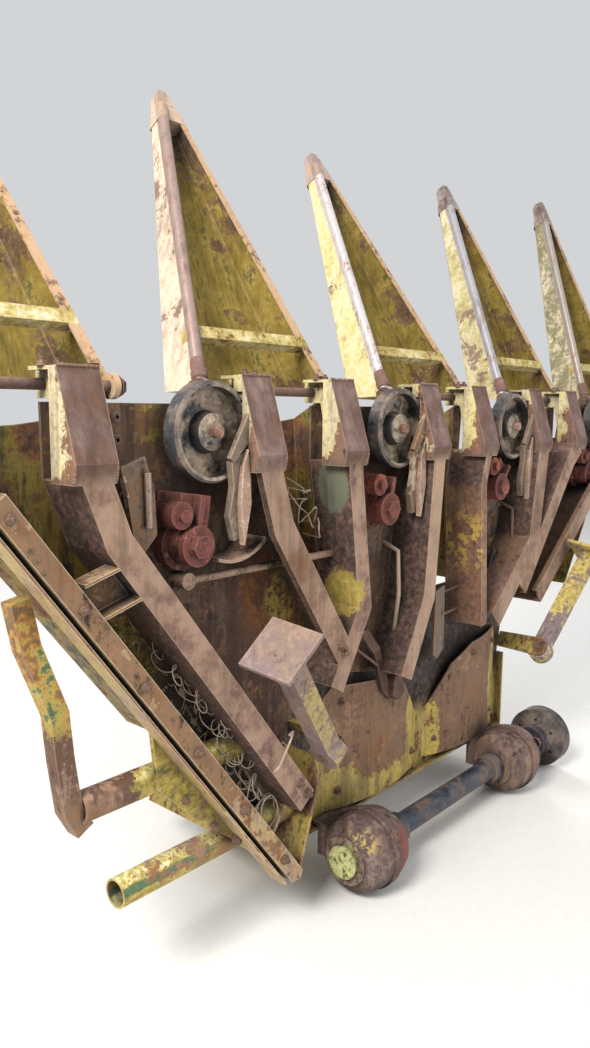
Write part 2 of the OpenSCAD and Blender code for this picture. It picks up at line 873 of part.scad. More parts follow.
module stand(s) {
    color(yellow)
        stand_place(s)
            rotate([stand_tilt, 0, 0])
                difference() {
                    union() {
                        difference() {
                            translate([-leg_w / 2, -leg_w / 2, 0])
                                cube([leg_w, leg_w, stand_l - 5]);
                            translate([-leg_w / 2 + leg_t, -leg_w / 2 + leg_t, 0])
                                cube([leg_w - 2 * leg_t, leg_w - 2 * leg_t, stand_l]);
                        }
                        bar_x(90, -leg_w / 2, leg_w / 2);
                        translate([-foot_w / 2, -foot_w / 2, stand_l - 10])
                            cube([foot_w, foot_w, 12]);
                    }
                    bar_x(stand_pin_d + 2 * play, -leg_w, leg_w);
                }
}

// Fixed plate of a stand, with some room round it where it passes a deck
module bracket_plate(room) {
    reach = strap_out + 20 + deck_t;
    half = 30 + room;
    yz(leg_w / 2 + gap - room, leg_w / 2 + gap + 12 + room)
        polygon([[-34, -22], [-34, 22], [-12, half + 6], [reach, half], [reach, -half], [-12, -half - 6]]);
}

// Fixed plate and pin of a stand
module stand_bracket(s) {
    stand_place(s) {
        bracket_plate(0);
        bar_x(stand_pin_d, -leg_w / 2 - 4, leg_w / 2 + 1);
    }
}

rear_frame();
throat_duct();
hitch_plates();
pan(-1);  // pan_left
pan(1);  // pan_right
side_beam();
outrigger();
for (i = dividers) arms_of(i);
for (r = rows) deck(r);
for (r = rows) row_casting(r);
tie_rod();
for (r = rows) drum(r);
for (i = dividers) hood(i);
for (i = dividers) snout(i);
gearbox(left_box_x, false);  // gearbox_left
gearbox(right_box_x, true);  // gearbox_right
cross_shaft();
stand(-1);  // stand_left
stand(1);  // stand_right
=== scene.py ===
"""Looks of a forage harvester's row-crop header, stored standing on its rear."""

import functools
import random
from math import atan, cos, pi, radians, sin, sqrt

import bmesh
import bpy
from mathutils import Matrix, Vector, noise


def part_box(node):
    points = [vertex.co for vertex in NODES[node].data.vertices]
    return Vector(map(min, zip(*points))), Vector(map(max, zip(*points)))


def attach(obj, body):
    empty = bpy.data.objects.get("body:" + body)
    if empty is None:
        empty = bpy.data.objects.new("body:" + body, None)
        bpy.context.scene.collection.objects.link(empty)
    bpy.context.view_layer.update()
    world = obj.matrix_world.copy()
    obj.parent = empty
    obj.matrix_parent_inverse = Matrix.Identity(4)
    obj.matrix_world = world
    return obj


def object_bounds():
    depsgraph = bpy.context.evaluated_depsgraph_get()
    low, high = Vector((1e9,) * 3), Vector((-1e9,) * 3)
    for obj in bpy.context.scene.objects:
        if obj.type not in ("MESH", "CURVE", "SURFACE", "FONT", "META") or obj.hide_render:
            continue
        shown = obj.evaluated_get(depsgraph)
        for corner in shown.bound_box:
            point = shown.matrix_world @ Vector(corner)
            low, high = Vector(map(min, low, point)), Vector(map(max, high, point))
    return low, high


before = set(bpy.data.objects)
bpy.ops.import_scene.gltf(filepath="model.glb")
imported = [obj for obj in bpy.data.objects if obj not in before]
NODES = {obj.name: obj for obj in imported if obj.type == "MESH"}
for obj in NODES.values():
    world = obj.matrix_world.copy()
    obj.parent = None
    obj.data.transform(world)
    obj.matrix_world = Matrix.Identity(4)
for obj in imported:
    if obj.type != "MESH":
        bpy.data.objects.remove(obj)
CAD_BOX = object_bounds()

MM = 0.001
DIVIDERS = range(5)
ROWS = range(1, 5)
FLOOR_Z = CAD_BOX[0][2]
FRONT, LEFT, UP = (0, -1, 0), (-1, 0, 0), (0, 0, 1)


# Node trees


class Signal:
    """A node's output; arithmetic on it adds Math nodes to its tree."""

    def __init__(self, graph, socket):
        self.graph = graph
        self.socket = socket

    def math(self, operation, other):
        return self.graph.add("ShaderNodeMath", {"operation": operation}, {0: self, 1: other})

    def __add__(self, other):
        return self.math("ADD", other)

    __radd__ = __add__

    def __sub__(self, other):
        return self.math("SUBTRACT", other)

    def __rsub__(self, other):
        return self.graph.add("ShaderNodeMath", {"operation": "SUBTRACT"}, {0: other, 1: self})

    def __mul__(self, other):
        return self.math("MULTIPLY", other)

    __rmul__ = __mul__

    def step(self, low, high):
        """0 at low, 1 at high, and smooth between them."""
        return self.graph.add(
            "ShaderNodeMapRange",
            {"interpolation_type": "SMOOTHSTEP"},
            {"Value": self, "From Min": low, "From Max": high},
        )

    def band(self, low, high, soft):
        """1 between two values."""
        return self.step(low - soft, low) * self.step(high + soft, high)

    def most(self, other):
        return self.math("MAXIMUM", other)


class Graph:
    """A node tree with one way of adding a node to it."""

    def add(self, kind, settings, values, output=0):
        """A node of that kind, with its settings and the values or links of its inputs."""
        node = self.tree.nodes.new(kind)
        for key, value in settings.items():
            if key == "stops":
                self.set_stops(node.color_ramp, value)
            else:
                setattr(node, key, value)
        for key, value in values.items():
            for part in value if isinstance(value, list) else [value]:
                self.feed(node.inputs[key], part)
        return Signal(self, node.outputs[output])

    def feed(self, socket, value):
        if isinstance(value, Signal):
            self.tree.links.new(value.socket, socket)
        else:
            socket.default_value = (*value, 1.0) if socket.type == "RGBA" else value

    def set_stops(self, ramp, stops):
        while len(ramp.elements) < len(stops):
            ramp.elements.new(1.0)
        for element, (position, colour) in zip(ramp.elements, stops):
            element.position = position
            element.color = (*colour, 1.0)


class Finish(Graph):
    """A material while it is being made."""

    def __init__(self, name, seed=0):
        self.material = bpy.data.materials.new(name)
        self.material.use_nodes = True
        self.tree = self.material.node_tree
        self.shader = self.tree.nodes["Principled BSDF"]
        self.raw = self.add("ShaderNodeTexCoord", {}, {}, "Object")
        shift = (seed * 1.37, seed * 0.71, seed * 2.13)
        self.place = self.add("ShaderNodeMapping", {}, {"Vector": self.raw, "Location": shift})

    def coordinates(self, axes):
        """The point's place on the header along the axes asked for."""
        return [self.add("ShaderNodeSeparateXYZ", {}, {"Vector": self.raw}, axis) for axis in axes]

    def likeness(self, one, other):
        """1 where two directions are the same, -1 where they are opposite."""
        return self.add("ShaderNodeVectorMath", {"operation": "DOT_PRODUCT"}, {0: one, 1: other}, "Value")

    def faces(self, direction):
        """How far the surface looks in a direction, from -1 to 1."""
        return self.likeness(self.add("ShaderNodeTexCoord", {}, {}, "Normal"), direction)

    def noise(self, scale, detail=4.0, roughness=0.6, stretch=None):
        place = self.place
        if stretch:
            place = self.add("ShaderNodeMapping", {}, {"Vector": place, "Scale": stretch})
        values = {"Vector": place, "Scale": scale, "Detail": detail, "Roughness": roughness}
        return self.add("ShaderNodeTexNoise", {}, values)

    def cells(self, scale):
        return self.add("ShaderNodeTexVoronoi", {}, {"Vector": self.place, "Scale": scale})

    def patch(self, centre, reach, ragged, soft=0.12):
        """1 within a ragged patch round a point; reach is its size along x, y and z."""
        scale = tuple(1 / length for length in reach)
        shift = tuple(-place / length for place, length in zip(centre, reach))
        local = self.add("ShaderNodeMapping", {}, {"Vector": self.raw, "Location": shift, "Scale": scale})
        away = self.add("ShaderNodeVectorMath", {"operation": "LENGTH"}, {0: local}, "Value")
        return (away + 1.6 * (ragged - 0.5)).step(1.0 + soft, 1.0 - soft)

    def worn_edge(self, radius):
        """1 on sharp edges."""
        rounded = self.add("ShaderNodeBevel", {"samples": 4}, {"Radius": radius})
        flat = self.add("ShaderNodeNewGeometry", {}, {}, "True Normal")
        return self.likeness(rounded, flat).step(0.985, 0.9)

    def crevice(self, reach):
        """1 deep in corners, where the script lays grime and painted shade."""
        open_sky = self.add("ShaderNodeAmbientOcclusion", {"samples": 4}, {"Distance": reach}, "AO")
        return open_sky.step(0.8, 0.25)

    def ramp(self, value, stops):
        return self.add("ShaderNodeValToRGB", {"stops": stops}, {"Fac": value})

    def blend(self, mask, below, above):
        """The colour below, covered by the colour above where the mask is 1."""
        return self.add("ShaderNodeMix", {"data_type": "RGBA"}, {0: mask, 6: below, 7: above}, 2)

    def stain(self, mask, colour, value, stops):
        """The colour, covered where the mask is 1 by tones that change with a value."""
        return self.blend(mask, colour, self.ramp(value, stops))

    def age(self, colour, blotch, dirt, wear, edge, low=0.4, high=0.8, reach=0.09, radius=3.5 * MM,
            ragged=0.8):
        """Darkens deep corners, partly with grime and partly as painted shade, and rubs the edges; gives the
        colour and where it is rubbed.
        """
        # Ambient occlusion darkens the corners to near-black: grime, and also painted shade where shade
        # falls.
        colour = self.blend(self.crevice(reach) * dirt, colour, GREASE_AND_SHADE)
        worn = (self.worn_edge(radius) + ragged * (blotch - 0.5)).step(low, high)
        return self.blend(worn * wear, colour, edge), worn

    def wire(self, colour, roughness, metallic=None, height=None, depth=0.5 * MM):
        """Links the finished colour, roughness and relief to the shader."""
        self.feed(self.shader.inputs["Base Color"], colour)
        self.feed(self.shader.inputs["Roughness"], roughness)
        if metallic is not None:
            self.feed(self.shader.inputs["Metallic"], metallic)
        if height is not None:
            relief = {"Height": height, "Distance": depth, "Strength": 1.0}
            self.feed(self.shader.inputs["Normal"], self.add("ShaderNodeBump", {}, relief, "Normal"))
        return self.material


# Sizes of the header

DIVIDER_X = [-1.52, -0.76, 0.0, 0.76, 1.52]
HINGE_Z = 1.29
SNOUT_LEAN = [27.0, 29.5, 30.8, 26.6, 20.1]
TIP_SHIFT = [0.0, 0.045, -0.011, 0.007, -0.063]
SNOUT_HALF, TIP_HALF, SNOUT_LENGTH = 0.2575, 0.023, 0.985
NOSES = {"a": -1.41, "b": -0.91, "c": -0.576, "d": -0.146, "e": 0.165, "f": 0.585, "g": 0.912, "h": 1.41}
OUTER_NOSES = [-1.69, 1.69]
NOSE_HALF = 0.05


# Colours

PURPLE_RUST = (0.17, 0.092, 0.074)
BROWN_RUST = (0.105, 0.052, 0.032)
DARK_RUST = (0.03, 0.017, 0.012)
ORANGE_RUST = (0.27, 0.105, 0.03)
DUSTY_RUST = (0.33, 0.21, 0.15)
RED_RUST = (0.15, 0.042, 0.032)
PINK_RUST = (0.33, 0.185, 0.16)
TAN = (0.44, 0.3, 0.2)
DRY_EARTH = (0.26, 0.17, 0.105)
OLIVE = (0.215, 0.15, 0.02)
STRAW = (0.33, 0.24, 0.05)
YELLOW = (0.44, 0.33, 0.075)
LEMON = (0.62, 0.56, 0.22)
CREAM = (0.7, 0.59, 0.43)
MOSS = (0.05, 0.062, 0.014)
TEAL = (0.03, 0.11, 0.062)
BLUE_STEEL = (0.04, 0.05, 0.072)
GREY_STEEL = (0.17, 0.17, 0.18)
# Near-black of grease and oil, also used as painted shade in corners and on the shaded webs.
GREASE_AND_SHADE = (0.01, 0.008, 0.007)


# Finishes


def rust_coat(f, rust, deep, light, glow):
    """Colour and relief of old rust in several tones."""
    broad = f.noise(2.6, 3.0)
    blotch = f.noise(11.0, 8.0, 0.68)
    fine = f.noise(60.0, 6.0, 0.72)
    runs = f.noise(3.0, 6.0, 0.6, (14.0, 14.0, 1.3))
    tone = 0.4 * blotch + 0.32 * fine + 0.28 * runs
    colour = f.ramp(tone, [(0.4, deep), (0.465, rust), (0.515, rust), (0.575, light)])
    brown = (0.5 * broad + 0.3 * runs + 0.2 * fine).step(0.46, 0.56)
    colour = f.blend(brown * 0.55, colour, DRY_EARTH)
    spots = (0.55 * fine + 0.45 * broad).step(0.53, 0.6)
    colour = f.blend(spots * 0.6, colour, glow)
    pits = f.cells(190.0).step(0.22, 0.1) * blotch.step(0.47, 0.56)
    colour = f.blend(pits * 0.7, colour, deep)
    return colour, broad, blotch, fine, runs


def weathered(name, seed, rust=PURPLE_RUST, deep=DARK_RUST, light=DUSTY_RUST, glow=ORANGE_RUST, paint=YELLOW,
        faded=CREAM, cover=0.0, moss=0.0, grime=0.5, edge=TAN, local=None, extra=None):
    """Old steel: rust, what is left of its paint, moss, grime and painted shade in its corners, and rubbed
    edges.
    """
    f = Finish(name, seed)
    colour, broad, blotch, fine, runs = rust_coat(f, rust, deep, light, glow)
    hold = 0.42 * blotch + 0.3 * broad + 0.16 * fine + 0.12 * runs + 0.12 * (cover - 1.0)
    if local:
        hold = local(f, hold, fine)
    halo = hold.step(0.4, 0.43)
    coat = hold.step(0.435, 0.443)
    coat_colour = f.blend((0.5 * runs + 0.5 * broad).step(0.44, 0.58), paint, faded)
    coat_colour = f.blend(fine.step(0.48, 0.62) * 0.45, coat_colour, rust)
    colour = f.blend(halo * 0.55, colour, glow)
    colour = f.blend(coat, colour, coat_colour)
    if moss:
        growth = (0.5 * runs + 0.3 * blotch + 0.2 * fine).step(0.56 - 0.1 * moss, 0.62 - 0.05 * moss)
        colour = f.blend(growth * min(1.0, 0.5 + moss), colour, MOSS)
    if extra:
        colour = extra(f, colour, fine)
    dirt = (0.6 * runs + 0.4 * broad).step(0.46, 0.66)
    colour = f.blend(dirt * grime, colour, DARK_RUST)
    colour, worn = f.age(colour, blotch, 0.9, 0.85, edge, 0.3, 0.65, ragged=1.1)
    roughness = 0.86 - 0.26 * coat - 0.22 * worn + 0.1 * (fine - 0.5)
    height = 0.5 * coat + 0.5 * blotch + 0.4 * fine
    return f.wire(colour, roughness, None, height, 1.4 * MM)


def snout_sheet(i, wall, rail_tone, tip):
    """Folded sheet of a snout: mossy yellow inside, its olive tones partly painted shade; pale outside on the
    left and bright on the right rim, partly painted sunlight; with a rail rubbed bright.
    """
    f = Finish("snout_sheet_%d" % i, 20 + i)
    x, y, z = f.coordinates("XYZ")
    lean = radians(SNOUT_LEAN[i])
    along = (z - HINGE_Z) * cos(lean) + y * sin(lean)
    depth = y * cos(lean) - (z - HINGE_Z) * sin(lean)
    taper = (SNOUT_HALF - TIP_HALF) / SNOUT_LENGTH
    shift = TIP_SHIFT[i] / SNOUT_LENGTH
    left = x - DIVIDER_X[i] + SNOUT_HALF - (taper + shift) * along
    right = DIVIDER_X[i] + SNOUT_HALF - x - (taper - shift) * along
    colour, broad, blotch, fine, runs = rust_coat(f, BROWN_RUST, DARK_RUST, PURPLE_RUST, ORANGE_RUST)
    streak = f.noise(5.0, 7.0, 0.7, (9.0, 3.0, 1.1))
    chips = 0.4 * blotch + 0.25 * fine + 0.35 * broad
    # Inner sheet: mossy yellow paint, its olive tones partly painted shade
    sheet = f.ramp(0.6 * streak + 0.4 * blotch,
        [(0.36, (0.1, 0.075, 0.01)), (0.47, OLIVE), (0.56, STRAW), (0.66, YELLOW)])
    sheet = f.blend((0.7 * streak + 0.3 * fine).step(0.53, 0.62) * 0.85, sheet, MOSS)
    sheet = f.blend((0.6 * blotch + 0.4 * fine).step(0.55, 0.6) * 0.7, sheet, BROWN_RUST)
    bared = (chips + 0.07 * right.step(0.062, 0.03) + 0.1 * along.step(0.66, 0.94)).step(0.57, 0.605)
    sheet = f.stain(bared * 0.85, sheet, fine,
        [(0.42, DARK_RUST), (0.52, BROWN_RUST), (0.64, (0.2, 0.12, 0.07))])
    colour = f.blend(chips.step(0.36, 0.375), colour, sheet)
    # Left wall's outer face: pale paint made paler as painted sunlight
    outer = left.step(0.0042, 0.0022) * depth.step(0.016, 0.02)
    pale = f.ramp(0.5 * streak + 0.5 * fine, [(0.36, DUSTY_RUST), (0.46, wall), (0.6, CREAM)])
    pale = f.blend(chips.step(0.555, 0.57) * 0.85, pale, PURPLE_RUST)
    colour = f.blend(outer, colour, pale)
    # Right rim, whose inner face is made bright as painted sunlight, and cross brace
    tone = 0.5 * blotch + 0.5 * fine
    rim = right.step(0.034, 0.028) * depth.step(0.012, 0.007)
    colour = f.stain(rim, colour, tone,
        [(0.4, BROWN_RUST), (0.48, (0.5, 0.32, 0.18)), (0.58, TAN), (0.64, CREAM)])
    brace = along.band(0.149, 0.186, 0.002) * depth.step(0.04, 0.036)
    colour = f.stain(brace, colour, tone,
        [(0.4, BROWN_RUST), (0.46, STRAW), (0.54, (0.5, 0.42, 0.18)), (0.62, CREAM)])
    # Rail on the left rim, and the cap on the tip
    rail = left.step(0.036, 0.03) * depth.step(0.02, 0.016)
    shine = 0.5 * f.noise(30.0, 4.0, 0.6, (6.0, 6.0, 0.5)) + 0.5 * blotch
    colour = f.stain(rail, colour, shine,
        [(0.4, PINK_RUST), (0.47, rail_tone), (0.6, rail_tone), (0.68, CREAM)])
    cap = along.step(0.886, 0.889)
    colour = f.stain(cap, colour, 0.6 * blotch + 0.4 * fine, [(0.4, PURPLE_RUST), (0.48, tip), (0.6, TAN)])
    colour = f.blend((0.6 * runs + 0.4 * broad).step(0.5, 0.7) * 0.45, colour, DARK_RUST)
    colour, worn = f.age(colour, blotch, 0.7, 0.7, TAN, 0.35, 0.75, reach=0.12, ragged=0.9)
    roughness = 0.8 - 0.38 * rail + 0.12 * (fine - 0.5) - 0.15 * worn
    return f.wire(colour, roughness, rail * 0.35, 0.5 * blotch + 0.4 * fine + 0.3 * streak, 1.2 * MM)


def nose_paint_and_sunlight(f, hold, fine):
    """Cream paint that holds on the noses' left sides, less so towards the front; the extra cream on the
    left-facing sides is partly painted sunlight.
    """
    y, z = f.coordinates("YZ")
    # Left-facing sides get more cream: partly paint, partly painted sunlight.
    side = f.faces(LEFT).step(0.6, 0.8) * z.step(1.08, 1.13)
    return hold + side * (0.16 - 0.09 * y.step(-0.06, -0.13))


def arm_tones(f, colour, fine):
    """Purple-brown noses, their front faces partly painted shade; straps rubbed tan in front and partly
    lightened as painted sunlight; webs facing left darkened as painted shade and grime; one orange arm and
    patches on two webs.
    """
    x, z = f.coordinates("XZ")
    front = f.faces(FRONT)
    # Front faces of the noses: purple-brown rust, partly painted shade.
    nose = front.step(0.5, 0.8) * z.step(1.08, 1.12)
    colour = f.stain(nose * 0.8, colour, f.noise(9.0, 7.0, 0.7),
        [(0.38, BROWN_RUST), (0.5, (0.145, 0.088, 0.08)), (0.62, (0.24, 0.16, 0.14))])
    # Front faces of the straps lightened: partly rubbed steel, partly painted sunlight.
    strap = front.step(0.7, 0.9) * z.step(1.12, 1.08)
    rubbed = strap * f.noise(7.0, 6.0, 0.7).step(0.4, 0.58)
    colour = f.blend(rubbed * 0.85, colour, (0.36, 0.235, 0.165))
    colour = f.blend(strap * x.band(-0.26, -0.02, 0.02) * 0.5, colour, TAN)
    orange = x.band(0.02, 0.26, 0.02) * z.step(1.02, 0.96)
    # Left-facing webs darkened: painted shade, partly grime.
    web = f.faces(LEFT).step(0.6, 0.9) * z.step(1.12, 1.06)
    colour = f.stain(web * (1.0 - orange) * 0.8, colour, fine,
        [(0.4, GREASE_AND_SHADE), (0.52, (0.06, 0.038, 0.03)), (0.64, PURPLE_RUST)])
    colour = f.stain(orange * 0.55, colour, fine, [(0.4, BROWN_RUST), (0.55, (0.235, 0.12, 0.055))])
    spot = f.patch((0.115, -0.09, 0.8), (0.06, 0.12, 0.1), fine, 0.6)
    flecks = spot * f.noise(24.0, 5.0, 0.7).step(0.52, 0.545)
    colour = f.blend(flecks * 0.9, colour, (0.5, 0.33, 0.07))
    yellow = f.patch((-0.56, -0.085, 0.734), (0.06, 0.066, 0.066), fine, 0.05)
    colour = f.stain(yellow, colour, fine, [(0.42, STRAW), (0.55, YELLOW), (0.66, (0.5, 0.44, 0.16))])
    grey = f.patch((-0.605, -0.075, 1.03), (0.06, 0.055, 0.07), fine, 0.05)
    return f.blend(grey, colour, (0.145, 0.15, 0.105))


def deck_patch(f, colour, fine):
    """Yellow and orange left on the first deck, red-brown round it."""
    ring = f.patch((-0.74, 0.0, 0.76), (0.14, 0.1, 0.16), fine, 0.3)
    colour = f.stain(ring * 0.8, colour, fine,
        [(0.42, BROWN_RUST), (0.5, (0.2, 0.065, 0.022)), (0.6, (0.3, 0.13, 0.03))])
    yellow = f.patch((-0.72, 0.0, 0.735), (0.07, 0.1, 0.08), fine, 0.1)
    return f.stain(yellow * 0.85, colour, fine, [(0.44, BROWN_RUST), (0.49, STRAW), (0.58, YELLOW)])


def deep_floor(f, colour, fine):
    """The floor behind the decks lies in dirt and shadow."""
    y, z = f.coordinates("YZ")
    deep = y.band(0.003, 0.016, 0.001) * z.step(0.18, 0.26)
    return f.stain(deep, colour, fine, [(0.42, GREASE_AND_SHADE), (0.55, (0.04, 0.024, 0.016)), (0.64, BROWN_RUST)])


PAN_PATCHES = [(-0.47, 0.07, 0.1, 0.1), (-0.27, 0.03, 0.26, 0.07), (-0.075, 0.16, 0.06, 0.24),
    (0.055, 0.1, 0.045, 0.15), (0.49, 0.2, 0.05, 0.22)]


def pan_paint(f, hold, fine):
    """Yellow paint that holds along the pans' edges."""
    patches = [f.patch((x, -0.02, z), (wide, 0.1, tall), fine, 0.2) for x, z, wide, tall in PAN_PATCHES]
    return hold + 0.13 * functools.reduce(Signal.most, patches)


def beam_lip(f, hold, fine):
    """Paint that holds on the side beam's lower lip and has gone from its face, less so low down."""
    (z,) = f.coordinates("Z")
    face = f.faces(FRONT).step(0.6, 0.9)
    lip = f.faces((-0.8, 0, -0.6)).step(0.3, 0.7)
    return hold + 0.1 * lip - face * (0.055 - 0.06 * z.step(0.6, 0.25))


def inner_sheet(f, colour, fine):
    """Dark yellow sheet that still shows above the dirt."""
    shown = f.patch((-1.235, -0.02, 0.72), (0.1, 0.1, 0.16), fine, 0.3)
    return f.stain(shown, colour, fine,
        [(0.42, (0.04, 0.024, 0.006)), (0.52, (0.125, 0.078, 0.008)), (0.62, OLIVE)])


def casting(name, seed, base, light, splash=None):
    """Coarse cast iron with rust in two tones, oily in places; with a splash also dusty at the drums."""
    f = Finish(name, seed)
    blotch = f.noise(14.0, 8.0, 0.7)
    broad = f.noise(4.0, 3.0)
    skin = f.noise(150.0, 4.0, 0.7)
    colour = f.ramp(0.55 * blotch + 0.45 * skin,
        [(0.38, DARK_RUST), (0.48, base), (0.55, base), (0.62, light)])
    if splash:
        (z,) = f.coordinates("Z")
        colour = f.blend((0.6 * broad + 0.4 * blotch).step(0.545, 0.575) * 0.9, colour, splash)
        colour = f.stain(z.step(1.09, 1.12), colour, blotch, [(0.42, BROWN_RUST), (0.6, DUSTY_RUST)])
    oil = (0.5 * broad + 0.5 * blotch).step(0.44, 0.38)
    colour = f.blend(oil * 0.75, colour, GREASE_AND_SHADE)
    colour, _ = f.age(colour, blotch, 0.8, 0.6, light, radius=4 * MM)
    return f.wire(colour, 0.8 - 0.3 * oil, None, 0.4 * blotch + 0.6 * skin, 1.6 * MM)


def gearbox_iron():
    """Dark purple-brown housings with red places, yellow left on a flange and a speckled cap."""
    f = Finish("gearbox_iron", 12)
    (x,) = f.coordinates("X")
    colour, broad, blotch, fine, runs = rust_coat(f, (0.09, 0.056, 0.052), GREASE_AND_SHADE, (0.2, 0.145, 0.13),
        RED_RUST)
    left = f.patch((-0.43, -0.22, -0.05), (0.07, 0.1, 0.09), blotch)
    right = f.patch((0.5, -0.24, -0.06), (0.07, 0.08, 0.07), blotch)
    colour = f.blend(left.most(right) * 0.8, colour, (0.2, 0.055, 0.04))
    chips = 0.5 * blotch + 0.5 * fine
    yellow = f.patch((-0.59, -0.2, 0.035), (0.03, 0.05, 0.035), fine, 0.4) * chips.step(0.5, 0.53)
    colour = f.blend(yellow * 0.85, colour, YELLOW)
    cap = x.step(-0.6095, -0.6115)
    colour = f.stain(cap, colour, fine,
        [(0.4, MOSS), (0.47, (0.33, 0.32, 0.13)), (0.6, (0.46, 0.46, 0.22))])
    colour, _ = f.age(colour, blotch, 0.8, 0.5, DUSTY_RUST, reach=0.12, radius=4 * MM)
    oil = (0.6 * broad + 0.4 * runs).step(0.46, 0.4)
    return f.wire(colour, 0.78 - 0.28 * oil, None, 0.5 * blotch + 0.5 * f.noise(150.0, 4.0, 0.7), 1.6 * MM)


def dark_steel(name, seed, base, light, dusty=0.7, recess=0.0, end=0.0):
    """Turned steel gone dark, with brown bloom and dust, which lies thickest in a drum's recess."""
    f = Finish(name, seed)
    x, y = f.coordinates("XY")
    blotch = f.noise(12.0, 7.0, 0.66)
    fine = f.noise(70.0, 5.0, 0.7)
    tone = 0.6 * blotch + 0.4 * fine
    colour = f.ramp(tone, [(0.38, GREASE_AND_SHADE), (0.47, base), (0.57, base), (0.66, light)])
    bloom = tone.step(0.51, 0.57)
    colour = f.blend(bloom * 0.8, colour, BROWN_RUST)
    colour, _ = f.age(colour, blotch, 0.85, 0.7, DUSTY_RUST)
    dust = (0.5 * f.noise(5.0, 5.0, 0.7) + 0.5 * blotch).step(0.49, 0.57)
    colour = f.blend(dust * dusty, colour, (0.24, 0.19, 0.145))
    floor = f.faces(FRONT).step(0.6, 0.9) * y.step(-0.11, -0.104) * blotch.step(0.4, 0.52)
    colour = f.stain(floor * recess, colour, fine, [(0.4, (0.2, 0.145, 0.1)), (0.6, (0.42, 0.33, 0.24))])
    disc = x.step(0.575, 0.6) * end
    colour = f.stain(disc * 0.8, colour, blotch,
        [(0.4, (0.05, 0.036, 0.03)), (0.58, (0.165, 0.125, 0.1))])
    dull = bloom.most(dust)
    return f.wire(colour, 0.46 + 0.38 * dull, 0.4 - 0.38 * dull, 0.5 * blotch + 0.3 * fine, 0.8 * MM)


def tube_paint():
    """Outrigger tubes: pale along their tops as painted sunlight, green and yellow below, rust at the open
    ends.
    """
    f = Finish("tube_paint", 9)
    x, z = f.coordinates("XZ")
    colour, broad, blotch, fine, _ = rust_coat(f, BROWN_RUST, DARK_RUST, DUSTY_RUST, ORANGE_RUST)
    chips = 0.5 * blotch + 0.3 * fine + 0.2 * broad
    along = f.noise(4.0, 6.0, 0.65, (1.0, 4.0, 4.0))
    paint = f.ramp(0.5 * along + 0.5 * fine,
        [(0.38, MOSS), (0.47, (0.24, 0.19, 0.035)), (0.56, YELLOW), (0.64, LEMON)])
    # Upward faces paler: painted sunlight on the tubes' tops.
    up = f.faces(UP)
    top = (up + 1.1 * (along - 0.5)).step(0.45, 0.75)
    paint = f.stain(top, paint, fine, [(0.42, STRAW), (0.52, LEMON), (0.62, (0.72, 0.68, 0.45))])
    teal = (up + 1.3 * (along - 0.5)).band(0.2, 0.62, 0.1) * z.step(0.26, 0.2) * x.step(-1.0, -1.08)
    paint = f.blend(teal * 0.85, paint, TEAL)
    upper = z.step(0.5, 0.66) * x.step(-1.25, -1.36)
    paint = f.stain(upper * 0.85, paint, 0.6 * blotch + 0.4 * fine,
        [(0.42, TEAL), (0.46, YELLOW), (0.5, (0.36, 0.14, 0.03)), (0.54, BROWN_RUST)])
    rusty = x.step(-1.17, -1.36) * z.step(0.2, 0.26) * 0.16 + chips
    colour = f.blend((rusty - 0.16 * upper).step(0.56, 0.545), colour, paint)
    colour, _ = f.age(colour, blotch, 0.8, 0.7, TAN)
    return f.wire(colour, 0.7 + 0.2 * (fine - 0.5), None, 0.5 * blotch + 0.5 * fine, 1.2 * MM)


def stand_paint():
    """Parking stands: grey-lilac, with yellow on the left leg's right face and all over the right stand."""
    f = Finish("stand_paint", 10)
    x, z = f.coordinates("XZ")
    colour, broad, blotch, fine, _ = rust_coat(f, (0.205, 0.155, 0.16), BROWN_RUST, (0.33, 0.28, 0.29),
        DUSTY_RUST)
    chips = 0.5 * blotch + 0.3 * fine + 0.2 * broad
    leg = f.faces((0.7, -0.3, 0.4)).step(0.15, 0.5) * chips.step(0.485, 0.5)
    leg = (leg * z.step(0.6, 0.56)).most(x.step(0.2, 0.3) * chips.step(0.485, 0.505) * 0.8)
    colour = f.stain(leg, colour, fine, [(0.4, STRAW), (0.5, (0.54, 0.41, 0.06)), (0.66, LEMON)])
    colour, _ = f.age(colour, blotch, 0.8, 0.75, (0.45, 0.33, 0.26), 0.35, 0.75)
    return f.wire(colour, 0.8 + 0.15 * (fine - 0.5), None, 0.5 * blotch + 0.5 * fine, 1.4 * MM)


def floor_finish():
    f = Finish("pale_floor")
    grain = f.noise(40.0, 3.0)
    return f.wire(f.ramp(grain, [(0.3, (0.72, 0.71, 0.69)), (0.7, (0.76, 0.75, 0.73))]), 0.9)
